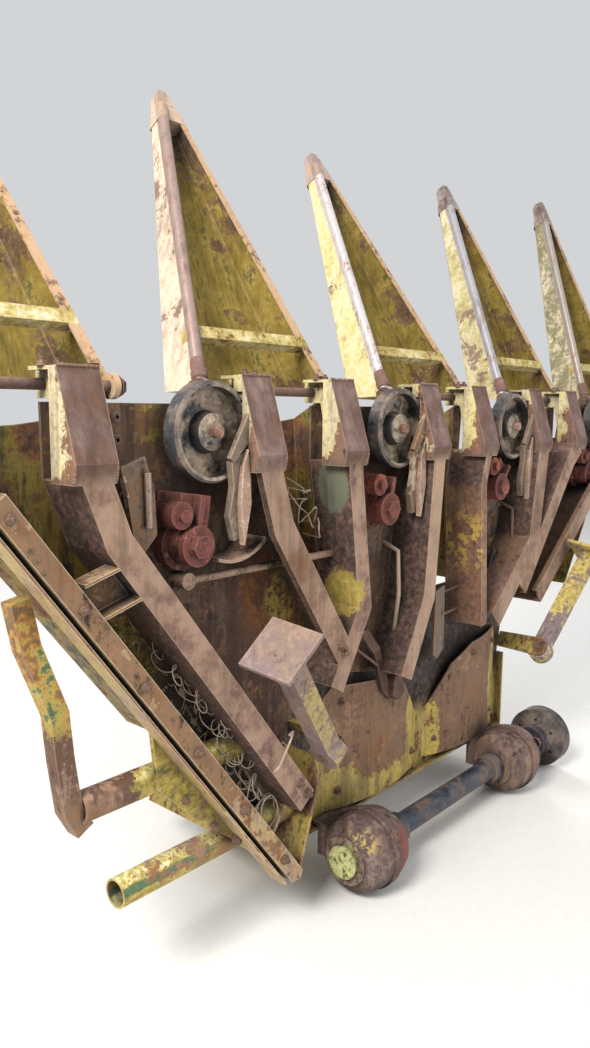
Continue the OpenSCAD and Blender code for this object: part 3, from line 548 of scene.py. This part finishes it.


# Tones of the snouts' left outer walls, lightened in part as painted sunlight.
WALLS = [PURPLE_RUST, (0.52, 0.4, 0.31), (0.56, 0.49, 0.2), (0.42, 0.38, 0.16), (0.2, 0.19, 0.09)]
RAILS = [DUSTY_RUST, (0.34, 0.245, 0.215), (0.6, 0.55, 0.55), (0.4, 0.39, 0.42), (0.36, 0.32, 0.28)]
TIPS = [PURPLE_RUST, (0.5, 0.38, 0.3), (0.38, 0.29, 0.27), (0.28, 0.25, 0.25), (0.24, 0.2, 0.19)]
FINISHES = {
    "hood": weathered("hood_sheet", 2, rust=BROWN_RUST, paint=OLIVE, faded=STRAW, cover=0.6, moss=0.5,
        grime=0.85),
    "arms": weathered("arm_steel", 3, paint=(0.6, 0.53, 0.22), faded=(0.68, 0.6, 0.38), cover=-0.45,
        local=nose_paint_and_sunlight, extra=arm_tones),
    # Decks: very dark rust and heavy grime, partly painted shade of the recesses between the arms.
    "deck": weathered("deck_sheet", 4, rust=(0.058, 0.028, 0.018), light=BROWN_RUST, paint=STRAW,
        faded=YELLOW, grime=0.9, extra=deck_patch),
    "pan": weathered("pan_sheet", 6, rust=(0.18, 0.098, 0.06), light=(0.34, 0.22, 0.14),
        paint=(0.5, 0.38, 0.07), faded=(0.42, 0.31, 0.09), cover=-0.25, local=pan_paint),
    "frame": weathered("frame_paint", 7, rust=BROWN_RUST, paint=STRAW, faded=YELLOW, cover=0.65, moss=0.35,
        extra=deep_floor),
    "beam": weathered("beam_paint", 8, rust=(0.235, 0.13, 0.065), paint=(0.45, 0.33, 0.1), faded=TAN,
        cover=0.45, grime=0.4, edge=CREAM, local=beam_lip),
    "tube": tube_paint(),
    "stand": stand_paint(),
    "casting": casting("row_casting", 11, RED_RUST, (0.36, 0.15, 0.11), (0.3, 0.075, 0.035)),
    "gearbox": gearbox_iron(),
    "drum": dark_steel("drum_steel", 13, (0.085, 0.085, 0.092), GREY_STEEL, recess=0.85),
    "shaft": dark_steel("shaft_steel", 14, BLUE_STEEL, (0.12, 0.14, 0.18), dusty=0.25, end=1.0),
    "fitting": casting("rusty_fitting", 16, BROWN_RUST, DUSTY_RUST),
    "bare": casting("bare_fitting", 17, DUSTY_RUST, (0.5, 0.42, 0.34)),
    "plate": weathered("weathered_plate", 18, rust=(0.17, 0.125, 0.095), light=(0.3, 0.26, 0.2)),
    "forged": casting("forged_steel", 19, PURPLE_RUST, PINK_RUST),
    "residue": weathered("dried_residue", 31, rust=(0.022, 0.016, 0.012), deep=GREASE_AND_SHADE,
        light=(0.055, 0.04, 0.026), glow=(0.075, 0.05, 0.018), paint=(0.1, 0.07, 0.015),
        faded=STRAW, cover=-0.4, grime=0.6, extra=inner_sheet),
    "dirt": weathered("caked_dirt", 32, rust=(0.05, 0.034, 0.024), deep=GREASE_AND_SHADE,
        light=(0.115, 0.08, 0.05), glow=(0.13, 0.075, 0.03), cover=-0.6, grime=0.6,
        edge=BROWN_RUST),
    "stalk": casting("dry_stalk", 33, (0.24, 0.17, 0.085), (0.44, 0.34, 0.18)),
}
for i in DIVIDERS:
    FINISHES["snout_%d" % i] = snout_sheet(i, WALLS[i], RAILS[i], TIPS[i])
ODD_NAMES = {"row_casting": "casting", "tie_rod": "bare", "cross_shaft": "shaft", "side_beam": "beam",
    "outrigger": "tube"}


def finish_of(node):
    """The finish that a node's name starts with, or the frame's."""
    for start in (*ODD_NAMES, *FINISHES):
        if node.startswith(start):
            return FINISHES[ODD_NAMES.get(start, start)]
    return FINISHES["frame"]


def dress(piece, finish):
    piece.data.materials.clear()
    piece.data.materials.append(finish)


for name, node in NODES.items():
    dress(node, finish_of(name))


# Fittings grown by Geometry Nodes


class Grower(Graph):
    """A Geometry Nodes tree that takes geometry, the numbers named and a metal."""

    def __init__(self, name, inputs):
        self.tree = bpy.data.node_groups.new(name, "GeometryNodeTree")
        self.tree.interface.new_socket("Geometry", in_out="OUTPUT", socket_type="NodeSocketGeometry")
        kinds = {"Geometry": "Geometry", **dict.fromkeys(inputs, "Float"), "Metal": "Material"}
        for key, kind in kinds.items():
            self.tree.interface.new_socket(key, in_out="INPUT", socket_type="NodeSocket" + kind)
        self.entry = self.tree.nodes.new("NodeGroupInput")

    def take(self, key):
        return Signal(self, self.entry.outputs[key])

    def named(self, key, kind):
        return self.add("GeometryNodeInputNamedAttribute", {"data_type": kind}, {"Name": key})

    def end(self, geometry):
        """Makes the instances real, dresses them and closes the tree."""
        real = self.add("GeometryNodeRealizeInstances", {}, {0: geometry})
        dressed = self.add("GeometryNodeSetMaterial", {}, {"Geometry": real, "Material": self.take("Metal")})
        self.tree.links.new(dressed.socket, self.tree.nodes.new("NodeGroupOutput").inputs[0])
        return self.tree


def bolt_grower():
    """Hexagonal heads on washers, with the thread's end standing out, one on each point."""
    g = Grower("hexagon_bolts", ["Across flats", "Head height", "Washer", "Thread"])
    across, tall, washer = g.take("Across flats"), g.take("Head height"), g.take("Washer")
    parts = []
    for sides, radius, height in ((6, across * 0.577, tall), (24, across * 0.72, washer),
            (12, across * 0.3, tall + g.take("Thread"))):
        disc = g.add("GeometryNodeMeshCylinder", {}, {"Vertices": sides, "Radius": radius, "Depth": height})
        lift = g.add("ShaderNodeCombineXYZ", {}, {"Z": height * 0.5})
        parts.append(g.add("GeometryNodeTransform", {}, {"Geometry": disc, "Translation": lift}))
    bolt = g.add("GeometryNodeJoinGeometry", {}, {0: parts})
    facing = g.named("facing", "FLOAT_VECTOR")
    turn = g.add("FunctionNodeAlignRotationToVector", {"axis": "Z"}, {"Vector": facing})
    size = g.named("size", "FLOAT")
    values = {"Points": g.take("Geometry"), "Instance": bolt, "Rotation": turn, "Scale": size}
    return g.end(g.add("GeometryNodeInstanceOnPoints", {}, values))


def bead_grower():
    """A weld: flattened beads, each over the last, along a path."""
    g = Grower("weld_beads", ["Width", "Spacing"])
    width = g.take("Width")
    path = g.add("GeometryNodeMeshToCurve", {}, {"Mesh": g.take("Geometry")})
    gap = g.take("Spacing")
    steps = g.add("GeometryNodeResampleCurve", {"mode": "LENGTH"}, {"Curve": path, "Length": gap})
    bead = g.add("GeometryNodeMeshIcoSphere", {}, {"Radius": width * 0.5, "Subdivisions": 2})
    uneven = g.add("FunctionNodeRandomValue", {"data_type": "FLOAT"}, {"Min": 0.8, "Max": 1.2, "Seed": 7}, 1)
    values = {"Points": steps, "Instance": bead, "Scale": uneven}
    return g.end(g.add("GeometryNodeInstanceOnPoints", {}, values))


def strand_grower():
    """A round wire along a path."""
    g = Grower("round_wire", ["Radius"])
    path = g.add("GeometryNodeMeshToCurve", {}, {"Mesh": g.take("Geometry")})
    ring = g.add("GeometryNodeCurvePrimitiveCircle", {}, {"Resolution": 6, "Radius": g.take("Radius")})
    tube = g.add("GeometryNodeCurveToMesh", {}, {"Curve": path, "Profile Curve": ring, "Fill Caps": True})
    return g.end(tube)


def settle(piece, body):
    """Turns what the modifiers make into a plain mesh that rides on a body."""
    graph = bpy.context.evaluated_depsgraph_get()
    mesh = bpy.data.meshes.new_from_object(piece.evaluated_get(graph))
    piece.modifiers.clear()
    piece.data = mesh
    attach(piece, body)


def new_object(name, data):
    made = bpy.data.objects.new(name, data)
    bpy.context.scene.collection.objects.link(made)
    return made


def new_piece(name, points, edges=(), faces=()):
    mesh = bpy.data.meshes.new(name)
    mesh.from_pydata(points, edges, faces)
    return new_object(name, mesh)


def grow(piece, tree, inputs):
    """Grows a Geometry Nodes tree on a piece's points or paths."""
    modifier = piece.modifiers.new("grow", "NODES")
    modifier.node_group = tree
    for socket in tree.interface.items_tree:
        if socket.name in inputs:
            modifier[socket.identifier] = inputs[socket.name]
    settle(piece, "frame")


BOLTS, BEADS, STRAND = bolt_grower(), bead_grower(), strand_grower()
WASHER = 2.5 * MM


def bolts(name, places, across, tall, thread=7 * MM):
    """Bolts at places, each a point and the direction that its head faces."""
    piece = new_piece(name, [point for point, _ in places])
    piece.data.attributes.new("facing", "FLOAT_VECTOR", "POINT")
    piece.data.attributes.new("size", "FLOAT", "POINT")
    facing, size = piece.data.attributes["facing"], piece.data.attributes["size"]
    for i, (_, direction) in enumerate(places):
        facing.data[i].vector = direction
        size.data[i].value = 1.0 + 0.12 * sin(7.3 * i)
    grow(piece, BOLTS, {"Across flats": across, "Head height": tall, "Washer": WASHER, "Thread": thread,
            "Metal": FINISHES["fitting"]})


def welds(name, paths, width):
    """Weld beads along paths."""
    piece = new_piece(name, *chain_up(paths))
    grow(piece, BEADS, {"Width": width, "Spacing": 0.45 * width, "Metal": FINISHES["fitting"]})


def strands(name, paths, radius, metal="bare"):
    """Round wires or rods along paths."""
    piece = new_piece(name, *chain_up(paths))
    grow(piece, STRAND, {"Radius": radius, "Metal": FINISHES[metal]})


def chain_up(paths):
    """The points of paths, and the edges that join them along each path."""
    points, edges = [], []
    for path in paths:
        first = len(points)
        points += path
        edges += [(first + i, first + i + 1) for i in range(len(path) - 1)]
    return points, edges


# Bolts of the header

PAN_X, PAN_HALF, PAN_CROWN, PAN_BACK, PAN_FOOT = 0.274, 0.25, 0.05, 0.006, 0.028
BRACKET_Y, BRACKET_TOP = -0.035, 1.325
BAR_HALF, OUTERMOST = 0.2635, 1.7
SHAFT_Y, SHAFT_Z = -0.15, -0.035
CAP_X, CAP_RING = -0.6105, 0.06


def swing(degrees, radius):
    """The two steps, level and upward, of a radius turned by an angle."""
    angle = radians(degrees)
    return radius * cos(angle), radius * sin(angle)


def on_pan(side, across, up):
    """A place on a pan's crowned face, from its middle line and its lower edge."""
    radius = (PAN_HALF ** 2 + PAN_CROWN ** 2) / 2 / PAN_CROWN
    slope = across / radius
    y = PAN_BACK - PAN_CROWN + radius - sqrt(radius ** 2 - across ** 2)
    return (side * PAN_X + across, y, PAN_FOOT + up), (slope, -sqrt(1 - slope ** 2), 0)


def nose_bolts():
    """Studs with nuts on the noses' brackets: two on each, and one on each outer nose."""
    spots = []
    for nose, x in NOSES.items():
        inward = 1 if nose in "bdfh" else -1
        spots += [x + inward * 0.012, x + inward * 0.047]
    places = [((x, BRACKET_Y, BRACKET_TOP), UP) for x in spots + OUTER_NOSES]
    bolts("nose_studs", places, 17 * MM, 9 * MM)


def pan_bolts():
    places = [on_pan(side, across, up) for side in (-1, 1)
        for across, up in ((-0.2, 0.06), (0.2, 0.06), (side * 0.19, 0.34), (0.0, 0.34))]
    bolts("pan_bolts", places, 17 * MM, 8 * MM)


def hinge_bolts():
    """Heads and washers on the ends of the hinge bars, but for the outermost ends."""
    ends = [(x + side * BAR_HALF, side) for x in DIVIDER_X for side in (-1, 1)]
    places = [((x, 0, HINGE_Z), (side, 0, 0)) for x, side in ends if abs(x) < OUTERMOST]
    bolts("hinge_bar_ends", places, 34 * MM, 15 * MM, thread=4 * MM)


def gearbox_bolts():
    """Bolts round the left gearbox's cap, and an oil plug on each gearbox."""
    ring = []
    for k in range(6):
        out, up = swing(60 * k + 20, CAP_RING)
        ring.append(((CAP_X, SHAFT_Y + out, SHAFT_Z + up), LEFT))
    bolts("gearbox_end_bolts", ring, 11 * MM, 6 * MM, thread=1 * MM)
    plugs = []
    for gearbox, x in (("gearbox_left", -0.5), ("gearbox_right", 0.5)):
        _, spot, normal, _ = NODES[gearbox].closest_point_on_mesh(Vector((x, -0.34, 0.1)))
        plugs.append((tuple(spot), tuple(normal)))
    bolts("oil_plugs", plugs, 24 * MM, 8 * MM, thread=1 * MM)


nose_bolts()
pan_bolts()
hinge_bolts()
gearbox_bolts()


# Guides beside the drums


def plate(name, outline, near, far, finish, lean=0.0, bevel=1.5 * MM):
    """A plate drawn in x and z, between two values of y; lean moves its lower end towards the deck."""
    top = max(z for _, z in outline)
    points = [(x, y + lean * (top - z), z) for y in (near, far) for x, z in outline]
    count = len(outline)
    sides = [tuple(range(count)), tuple(range(2 * count - 1, count - 1, -1))]
    walls = [(i, (i + 1) % count, count + (i + 1) % count, count + i) for i in range(count)]
    piece = new_piece(name, points, (), sides + walls)
    tidy_faces(piece)
    dress(piece, FINISHES[finish])
    rounding = piece.modifiers.new("edges", "BEVEL")
    rounding.width, rounding.segments = bevel, 2
    settle(piece, "frame")


def tidy_faces(piece):
    """Joins doubled points and turns all faces outwards."""
    shape = bmesh.new()
    shape.from_mesh(piece.data)
    bmesh.ops.remove_doubles(shape, verts=shape.verts, dist=0.02 * MM)
    bmesh.ops.recalc_face_normals(shape, faces=shape.faces)
    shape.to_mesh(piece.data)
    shape.free()


DRUM_X = [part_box("drum_%d" % row)[0][0] / 2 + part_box("drum_%d" % row)[1][0] / 2 for row in ROWS]


def drum_guides():
    """Beside each drum: a bent cover over its edge, a worn guide plate and a pointed blade."""
    for row, x, key in zip(ROWS, DRUM_X, "bdfh"):
        nose = NOSES[key] - NOSE_HALF
        plate("drum_cover_%d" % row,
            [(nose, 1.235), (nose, 1.165), (x + 0.035, 1.12), (x + 0.02, 1.13)],
            -0.112, -0.098, "plate")
        plate("guide_plate_%d" % row,
            [(x + 0.03, 1.12), (x + 0.085, 1.15), (x + 0.1, 1.06), (x + 0.085, 0.945),
             (x + 0.048, 0.93), (x + 0.028, 0.99), (x + 0.04, 1.06)],
            -0.108, -0.088, "plate", 0.05)
        plate("pointed_blade_%d" % row,
            [(nose - 0.006, 1.15), (nose, 1.09), (nose + 0.004, 1.02), (nose - 0.018, 0.92),
             (nose - 0.03, 1.02), (nose - 0.024, 1.11)],
            -0.118, -0.098, "bare")


drum_guides()


# Guides and rods between the arms


def stay(name, carrier, start, radius=5 * MM):
    """A short round stay from a guide to the nearest surface of the node that carries it."""
    _, spot, normal, _ = NODES[carrier].closest_point_on_mesh(Vector(start))
    strands(name, [[start, tuple(spot - normal * 1 * MM)]], radius, "fitting")


def guides_between_arms():
    """Guide sheets, levers and thin rods in the gaps between the straps."""
    plate("lever_2", [(-0.43, 0.575), (-0.4, 0.59), (-0.335, 0.52), (-0.275, 0.38), (-0.245, 0.345),
            (-0.27, 0.335), (-0.31, 0.37), (-0.36, 0.5)], -0.06, -0.045, "fitting")
    plate("lever_foot_2", [(-0.275, 0.415), (-0.235, 0.42), (-0.215, 0.35), (-0.25, 0.33),
            (-0.28, 0.35)], -0.08, -0.04, "fitting", bevel=5 * MM)
    plate("guide_sheet_3", [(-0.01, 0.64), (0.045, 0.655), (0.06, 0.43), (0.02, 0.4), (-0.005, 0.42)],
        -0.055, -0.045, "plate", 0.03)
    plate("guide_plate_0", [(-1.3, 1.12), (-1.235, 1.14), (-1.21, 1.06), (-1.205, 0.965),
            (-1.24, 0.93), (-1.27, 0.97), (-1.285, 1.06)], -0.07, -0.055, "plate")
    plate("guide_sheet_4", [(0.4, 0.735), (0.56, 0.7), (0.54, 0.56), (0.35, 0.44), (0.33, 0.56)],
        -0.045, -0.036, "shaft", 0.05)
    strands("guide_pin", [[(-1.236, -0.078, 1.105), (-1.234, -0.078, 0.985)]], 8 * MM)
    strands("push_rod_2", [[(-0.25, 0.001, 0.835), (-0.25, -0.06, 0.81), (-0.258, -0.072, 0.68),
            (-0.266, -0.06, 0.52), (-0.268, 0.001, 0.5)]], 7 * MM)
    strands("push_rod_3", [[(0.5, 0.001, 0.905), (0.5, -0.06, 0.88), (0.492, -0.072, 0.74),
            (0.47, -0.055, 0.61), (0.468, 0.001, 0.59)]], 7 * MM, "fitting")
    stay("guide_stay_0", "deck_1", (-1.255, -0.056, 1.06))
    stay("guide_stay_low_0", "deck_1", (-1.24, -0.056, 0.98))
    stay("guide_stay_3", "arms_2", (0.04, -0.048, 0.63))
    stay("guide_stay_low_3", "arms_2", (0.035, -0.046, 0.55))
    stay("lever_pin_2", "arms_1", (-0.405, -0.052, 0.57), 7 * MM)
    stay("cross_wire", "arms_1", (-0.35, -0.064, 0.466), 4 * MM)


def lies_on(carrier, spot):
    """Whether a node's front face is right behind a place and the place stands out from it."""
    start = Vector((spot[0], -0.05, spot[2]))
    found, hit, _, _ = NODES[carrier].ray_cast(start, Vector((0, 1, 0)), distance=0.1)
    return found and spot[1] < hit.y + 1 * MM and abs(hit.y) < 3 * MM


def bumpy_sheet(name, place, steps_up, steps_across, wall, finish="residue", carrier=None):
    """A sheet of dirt whose points place gives from two shares, kept where its carrier is right behind."""
    spots = [place(k / steps_up, j / steps_across)
        for k in range(steps_up + 1) for j in range(steps_across + 1)]
    number, points, faces = {}, [], []
    for k in range(steps_up):
        for j in range(steps_across):
            first = k * (steps_across + 1) + j
            corners = (first, first + 1, first + steps_across + 2, first + steps_across + 1)
            if carrier and not all(lies_on(carrier, spots[corner]) for corner in corners):
                continue
            for corner in corners:
                if corner not in number:
                    number[corner] = len(points)
                    points.append(spots[corner])
            faces.append(tuple(number[corner] for corner in corners))
    piece = new_piece(name, points, (), faces)
    dress(piece, FINISHES[finish])
    for face in piece.data.polygons:
        face.use_smooth = True
    thickness = piece.modifiers.new("thickness", "SOLIDIFY")
    thickness.thickness = wall
    settle(piece, "frame")


def lumps(x, z, coarse, fine):
    """Uneven height of dried dirt at a place."""
    broad, close = Vector((12 * x, 3, 12 * z)), Vector((40 * x, 1, 40 * z))
    return noise.noise(broad) * coarse + noise.noise(close) * fine


def outer_place(up, across):
    """Dirt that fills the space between the side beam and the first arm."""
    z = 0.06 + 0.74 * up
    left = -0.805 - 0.7618 * z
    right = min(-0.7 - 0.62 * z, -0.637 - 0.7716 * z)
    x = left + (right - left) * across
    return (x, -0.014 + lumps(x, z, 0.022, 0.007), z)


def deck_dirt(drum_x):
    """Dirt caked on a deck below its drum, thin at the rim."""
    def place(up, across):
        x, z = drum_x - 0.17 + 0.3 * across, 0.76 + 0.29 * up
        middle = max(0.0, 1 - (2 * up - 1) ** 2 - (2 * across - 1) ** 2)
        return (x, 1.2 * MM - middle * (0.01 + lumps(x, z, 0.016, 0.01)), z)
    return place


def caked_dirt():
    bumpy_sheet("outer_residue", outer_place, 40, 12, 6 * MM)
    for row, x in zip(ROWS, DRUM_X):
        bumpy_sheet("deck_dirt_%d" % row, deck_dirt(x), 30, 30, 1 * MM, "dirt", "deck_%d" % row)


STALKS = 150


def straw():
    """Broken stalks stuck in the dirt, every third one on a deck."""
    pick = random.Random(11)
    stalks = []
    for number in range(STALKS):
        if number % 3:
            spot = Vector(outer_place(pick.uniform(0.05, 0.95), pick.uniform(0.1, 0.9)))
        else:
            row = pick.choice(ROWS)
            spot = Vector(deck_dirt(DRUM_X[row - 1])(pick.uniform(0.2, 0.8), pick.uniform(0.2, 0.8)))
            if not lies_on("deck_%d" % row, spot):
                continue
        turn = pick.uniform(0, 2 * pi)
        half = pick.uniform(0.01, 0.028)
        along = Vector((cos(turn) * half, -pick.uniform(0.0, 0.006), sin(turn) * half))
        stalks.append([tuple(spot - along * 0.4), tuple(spot + Vector((0, -0.002, 0))), tuple(spot + along)])
    strands("straw", stalks, 1.4 * MM, "stalk")


FOOT_PROFILE = [(0.016, 0.01), (0.0205, 0.016), (0.0215, 0.032), (0.0185, 0.04), (0.02, 0.052),
    (0.018, 0.066), (0.0165, 0.072)]
FOOT_SIDES = 20


def foot_ring(shape, place, radius, height, seed):
    """One uneven ring of a sleeve's points."""
    ring = []
    for k in range(FOOT_SIDES):
        x, y = swing(360 / FOOT_SIDES * k, 1)
        rough = 1 + 0.06 * noise.noise(Vector((3 * x, 3 * y, 60 * height + seed)))
        ring.append(shape.verts.new(place @ Vector((radius * rough * x, radius * rough * y, height))))
    return ring


def rail_feet():
    """Forged sleeve round the lower end of each snout's rail."""
    for i, x in enumerate(DIVIDER_X):
        taper = atan((SNOUT_HALF - TIP_HALF) / SNOUT_LENGTH + TIP_SHIFT[i] / SNOUT_LENGTH)
        place = Matrix.Translation((x, 0, HINGE_Z)) @ Matrix.Rotation(-radians(SNOUT_LEAN[i]), 4, "X")
        place = place @ Matrix.Translation((-SNOUT_HALF + 0.012, 0, 0.014)) @ Matrix.Rotation(taper, 4, "Y")
        shape = bmesh.new()
        rings = [foot_ring(shape, place, radius, height, i) for radius, height in FOOT_PROFILE]
        for low, high in zip(rings, rings[1:]):
            for k in range(FOOT_SIDES):
                after = (k + 1) % FOOT_SIDES
                shape.faces.new((low[k], low[after], high[after], high[k]))
        shape.faces.new(rings[0][::-1])
        shape.faces.new(rings[-1])
        piece = new_piece("rail_foot_%d" % i, [])
        shape.to_mesh(piece.data)
        shape.free()
        tidy_faces(piece)
        dress(piece, FINISHES["forged"])
        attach(piece, "snout_%d" % i)


guides_between_arms()
caked_dirt()
straw()
rail_feet()


# Loose wire

COIL_STEPS, BULGE = 14, 0.055


def drift(seed, share):
    """A slow, repeatable wander along a strand."""
    places = [Vector((seed * 3.1 + 17.3 * axis, 6 * share, 0.5)) for axis in range(3)]
    return Vector([noise.noise(place) for place in places]) * 0.05


def curl(start, end, coils, radius, seed, y):
    """A springy strand with uneven coils, whose ends lie on what is behind it and whose middle bulges out."""
    path = []
    start, end = Vector((start[0], y, start[1])), Vector((end[0], y, end[1]))
    count = coils * COIL_STEPS
    for k in range(count + 1):
        t = k / count
        turn = 2 * pi * coils * t
        size = radius * (0.7 + 0.6 * noise.noise(Vector((seed, 3 * t, 2.0))))
        out = min(1.0, 4 * sin(pi * t))
        across, up = cos(turn) * size, sin(turn) * size
        wander = drift(seed, t)
        wander.y *= out
        path.append(tuple(start.lerp(end, t) + Vector((across, up * 0.5 * out - BULGE * out, up)) + wander))
    return path


CURLS = [
    ((-1.19, 0.7), (-1.06, 0.52), 8, 0.018, 1),
    ((-1.12, 0.6), (-0.96, 0.4), 9, 0.017, 2),
    ((-1.05, 0.5), (-0.91, 0.3), 8, 0.02, 3),
    ((-0.98, 0.38), (-0.88, 0.23), 7, 0.024, 4),
    ((-1.23, 0.77), (-1.12, 0.62), 4, 0.016, 8),
    ((-0.93, 0.29), (-0.85, 0.17), 3, 0.034, 9),
]
HANGING_CURLS = [((-0.72, 1.06), (-0.66, 0.93), 1, 0.03, 5), ((-0.69, 1.01), (-0.64, 0.9), 2, 0.018, 6)]


def loose_wires():
    """Strands of old baling wire caught between the side beam and the first arm, and by the drums."""
    strands("curled_wire", [curl(*row, -0.02) for row in CURLS], 1.5 * MM)
    strands("hanging_wire", [curl(*row, 0.0) for row in HANGING_CURLS], 2.2 * MM)
    coil = []
    for k in range(3 * 24):
        turn = radians(15 * k)
        size = 0.05 + 0.006 * sin(2.3 * turn)
        across, up = size * 0.8 * cos(turn), size * sin(turn)
        coil.append((-0.868 + across, -0.075 - 0.01 * k / 24, 0.185 + up))
    strands("wire_coil", [coil], 2.0 * MM)
    hook = [(-0.905, -0.15, 0.335), (-0.9, -0.162, 0.35), (-0.88, -0.166, 0.385),
        (-0.858, -0.164, 0.412), (-0.842, -0.156, 0.424), (-0.836, -0.146, 0.418),
        (-0.84, -0.14, 0.408)]
    strands("wire_hook", [hook], 3.2 * MM)


loose_wires()


# More bolts and welds


def strap_line(top, foot, start, stop, count, y, aside=0.0):
    """Places spread along a strap, aside from its middle line."""
    top, foot = Vector(top), Vector(foot)
    along = (foot - top).normalized()
    across = Vector((-along.y, along.x)) * aside
    spots = [top.lerp(foot, start + (stop - start) * k / (count - 1)) + across for k in range(count)]
    return [((spot.x, y, spot.y), FRONT) for spot in spots]


def frame_bolts():
    """Bolts on the straps, the side beam, the outrigger and the decks."""
    places = strap_line((-1.355, 0.97), (-0.761, 0.2), 0.93, 0.98, 2, -0.138, 0.012)
    places += strap_line((-0.86, 0.95), (-0.595, 0.555), 0.88, 0.94, 2, -0.138)
    places += strap_line((-1.632, 1.072), (-0.815, 0.0), 0.03, 0.93, 6, -0.151, 0.009)
    places += [((-0.745, -0.1, 0.215), (-0.95, 0, 0.3)), ((-1.15, -0.0925, 0.33), FRONT),
        ((-1.06, -0.0925, 0.225), FRONT), ((-0.985, -0.0925, 0.165), FRONT)]
    bolts("frame_bolts", places, 18 * MM, 9 * MM)
    deck = [((NOSES[nose] + 0.15, 0.0, z), FRONT) for nose in "aceg" for z in (1.225, 1.175)]
    bolts("deck_bolts", deck, 17 * MM, 6 * MM, 0.0)


CASTING_FEET = [(-0.064, 0.93), (-0.069, 0.953), (-0.112, 0.976), (-0.15, 0.985)]
FOOT_Y, FOOT_RING = -0.0384, 0.056


def casting_bolts():
    """Bolts round the castings' feet."""
    places = []
    for x, (aside, z) in zip(DRUM_X, CASTING_FEET):
        for turn in (200, 250, 300):
            across, up = swing(turn, FOOT_RING)
            places.append(((x + aside + across, FOOT_Y, z + up), FRONT))
    bolts("casting_bolts", places, 9 * MM, 6 * MM, thread=2 * MM)


def nose_welds():
    """Welds where the noses meet their straps, and across the noses' tops."""
    paths = []
    for x in NOSES.values():
        for side in (-1, 1):
            edge = x + side * (NOSE_HALF - 0.001)
            paths.append([(edge, -0.144 + 0.0008 * k, 1.128 - 0.004 * k) for k in range(8)])
        paths.append([(x - NOSE_HALF + 0.004 + 0.0092 * k, -0.087, 1.3255) for k in range(11)])
    welds("nose_welds", paths, 7 * MM)


frame_bolts()
casting_bolts()
nose_welds()


# Studio

EYE = Vector((-2.3473, -1.4938, FLOOR_Z + 1.3989))
YAW, PITCH, ROLL = radians(48.3615), radians(7.9462), radians(0.5286)
FOCAL_MM, SENSOR_MM = 28.18, 36.0


def studio_camera():
    ahead = Vector((sin(YAW), cos(YAW), 0))
    right = Vector((cos(YAW), -sin(YAW), 0))
    up = Vector((0, 0, 1))
    view = cos(PITCH) * ahead - sin(PITCH) * up
    top = sin(PITCH) * ahead + cos(PITCH) * up
    side = cos(ROLL) * right + sin(ROLL) * top
    top = -sin(ROLL) * right + cos(ROLL) * top
    data = bpy.data.cameras.new("camera")
    data.lens, data.sensor_height, data.sensor_fit = FOCAL_MM, SENSOR_MM, "VERTICAL"
    camera = new_object("camera", data)
    turn = Matrix((side, top, -view)).transposed()
    camera.matrix_world = Matrix.Translation(EYE) @ turn.to_4x4()
    bpy.context.scene.camera = camera


def studio_floor():
    half = 14.0
    corners = [(-half, -half, FLOOR_Z), (half, -half, FLOOR_Z), (half, half, FLOOR_Z), (-half, half, FLOOR_Z)]
    floor = new_piece("floor", corners, (), [(0, 1, 2, 3)])
    dress(floor, floor_finish())


def studio_lamp(name, place, aim, size, power, colour=(1, 1, 1)):
    data = bpy.data.lights.new(name, "AREA")
    data.size, data.energy, data.color = size, power, colour
    lamp = new_object(name, data)
    lamp.location = place
    lamp.rotation_euler = (Vector(aim) - Vector(place)).to_track_quat("-Z", "Y").to_euler()


def studio_world():
    world = bpy.data.worlds.new("studio")
    bpy.context.scene.world = world
    world.use_nodes = True
    back = world.node_tree.nodes["Background"]
    back.inputs["Color"].default_value = (0.86, 0.88, 0.9, 1)
    back.inputs["Strength"].default_value = 0.75


def studio():
    studio_camera()
    studio_floor()
    studio_world()
    centre = (0, 0, 0.9)
    studio_lamp("key", (-4.4, -0.9, 4.0), centre, 1.8, 360, (1.0, 0.96, 0.9))
    studio_lamp("fill", (1.5, -4.5, 2.6), centre, 3.5, 90)
    studio_lamp("rim", (3.0, 4.0, 4.0), centre, 2.5, 160)
    bpy.context.scene.view_settings.view_transform = "Standard"


studio()
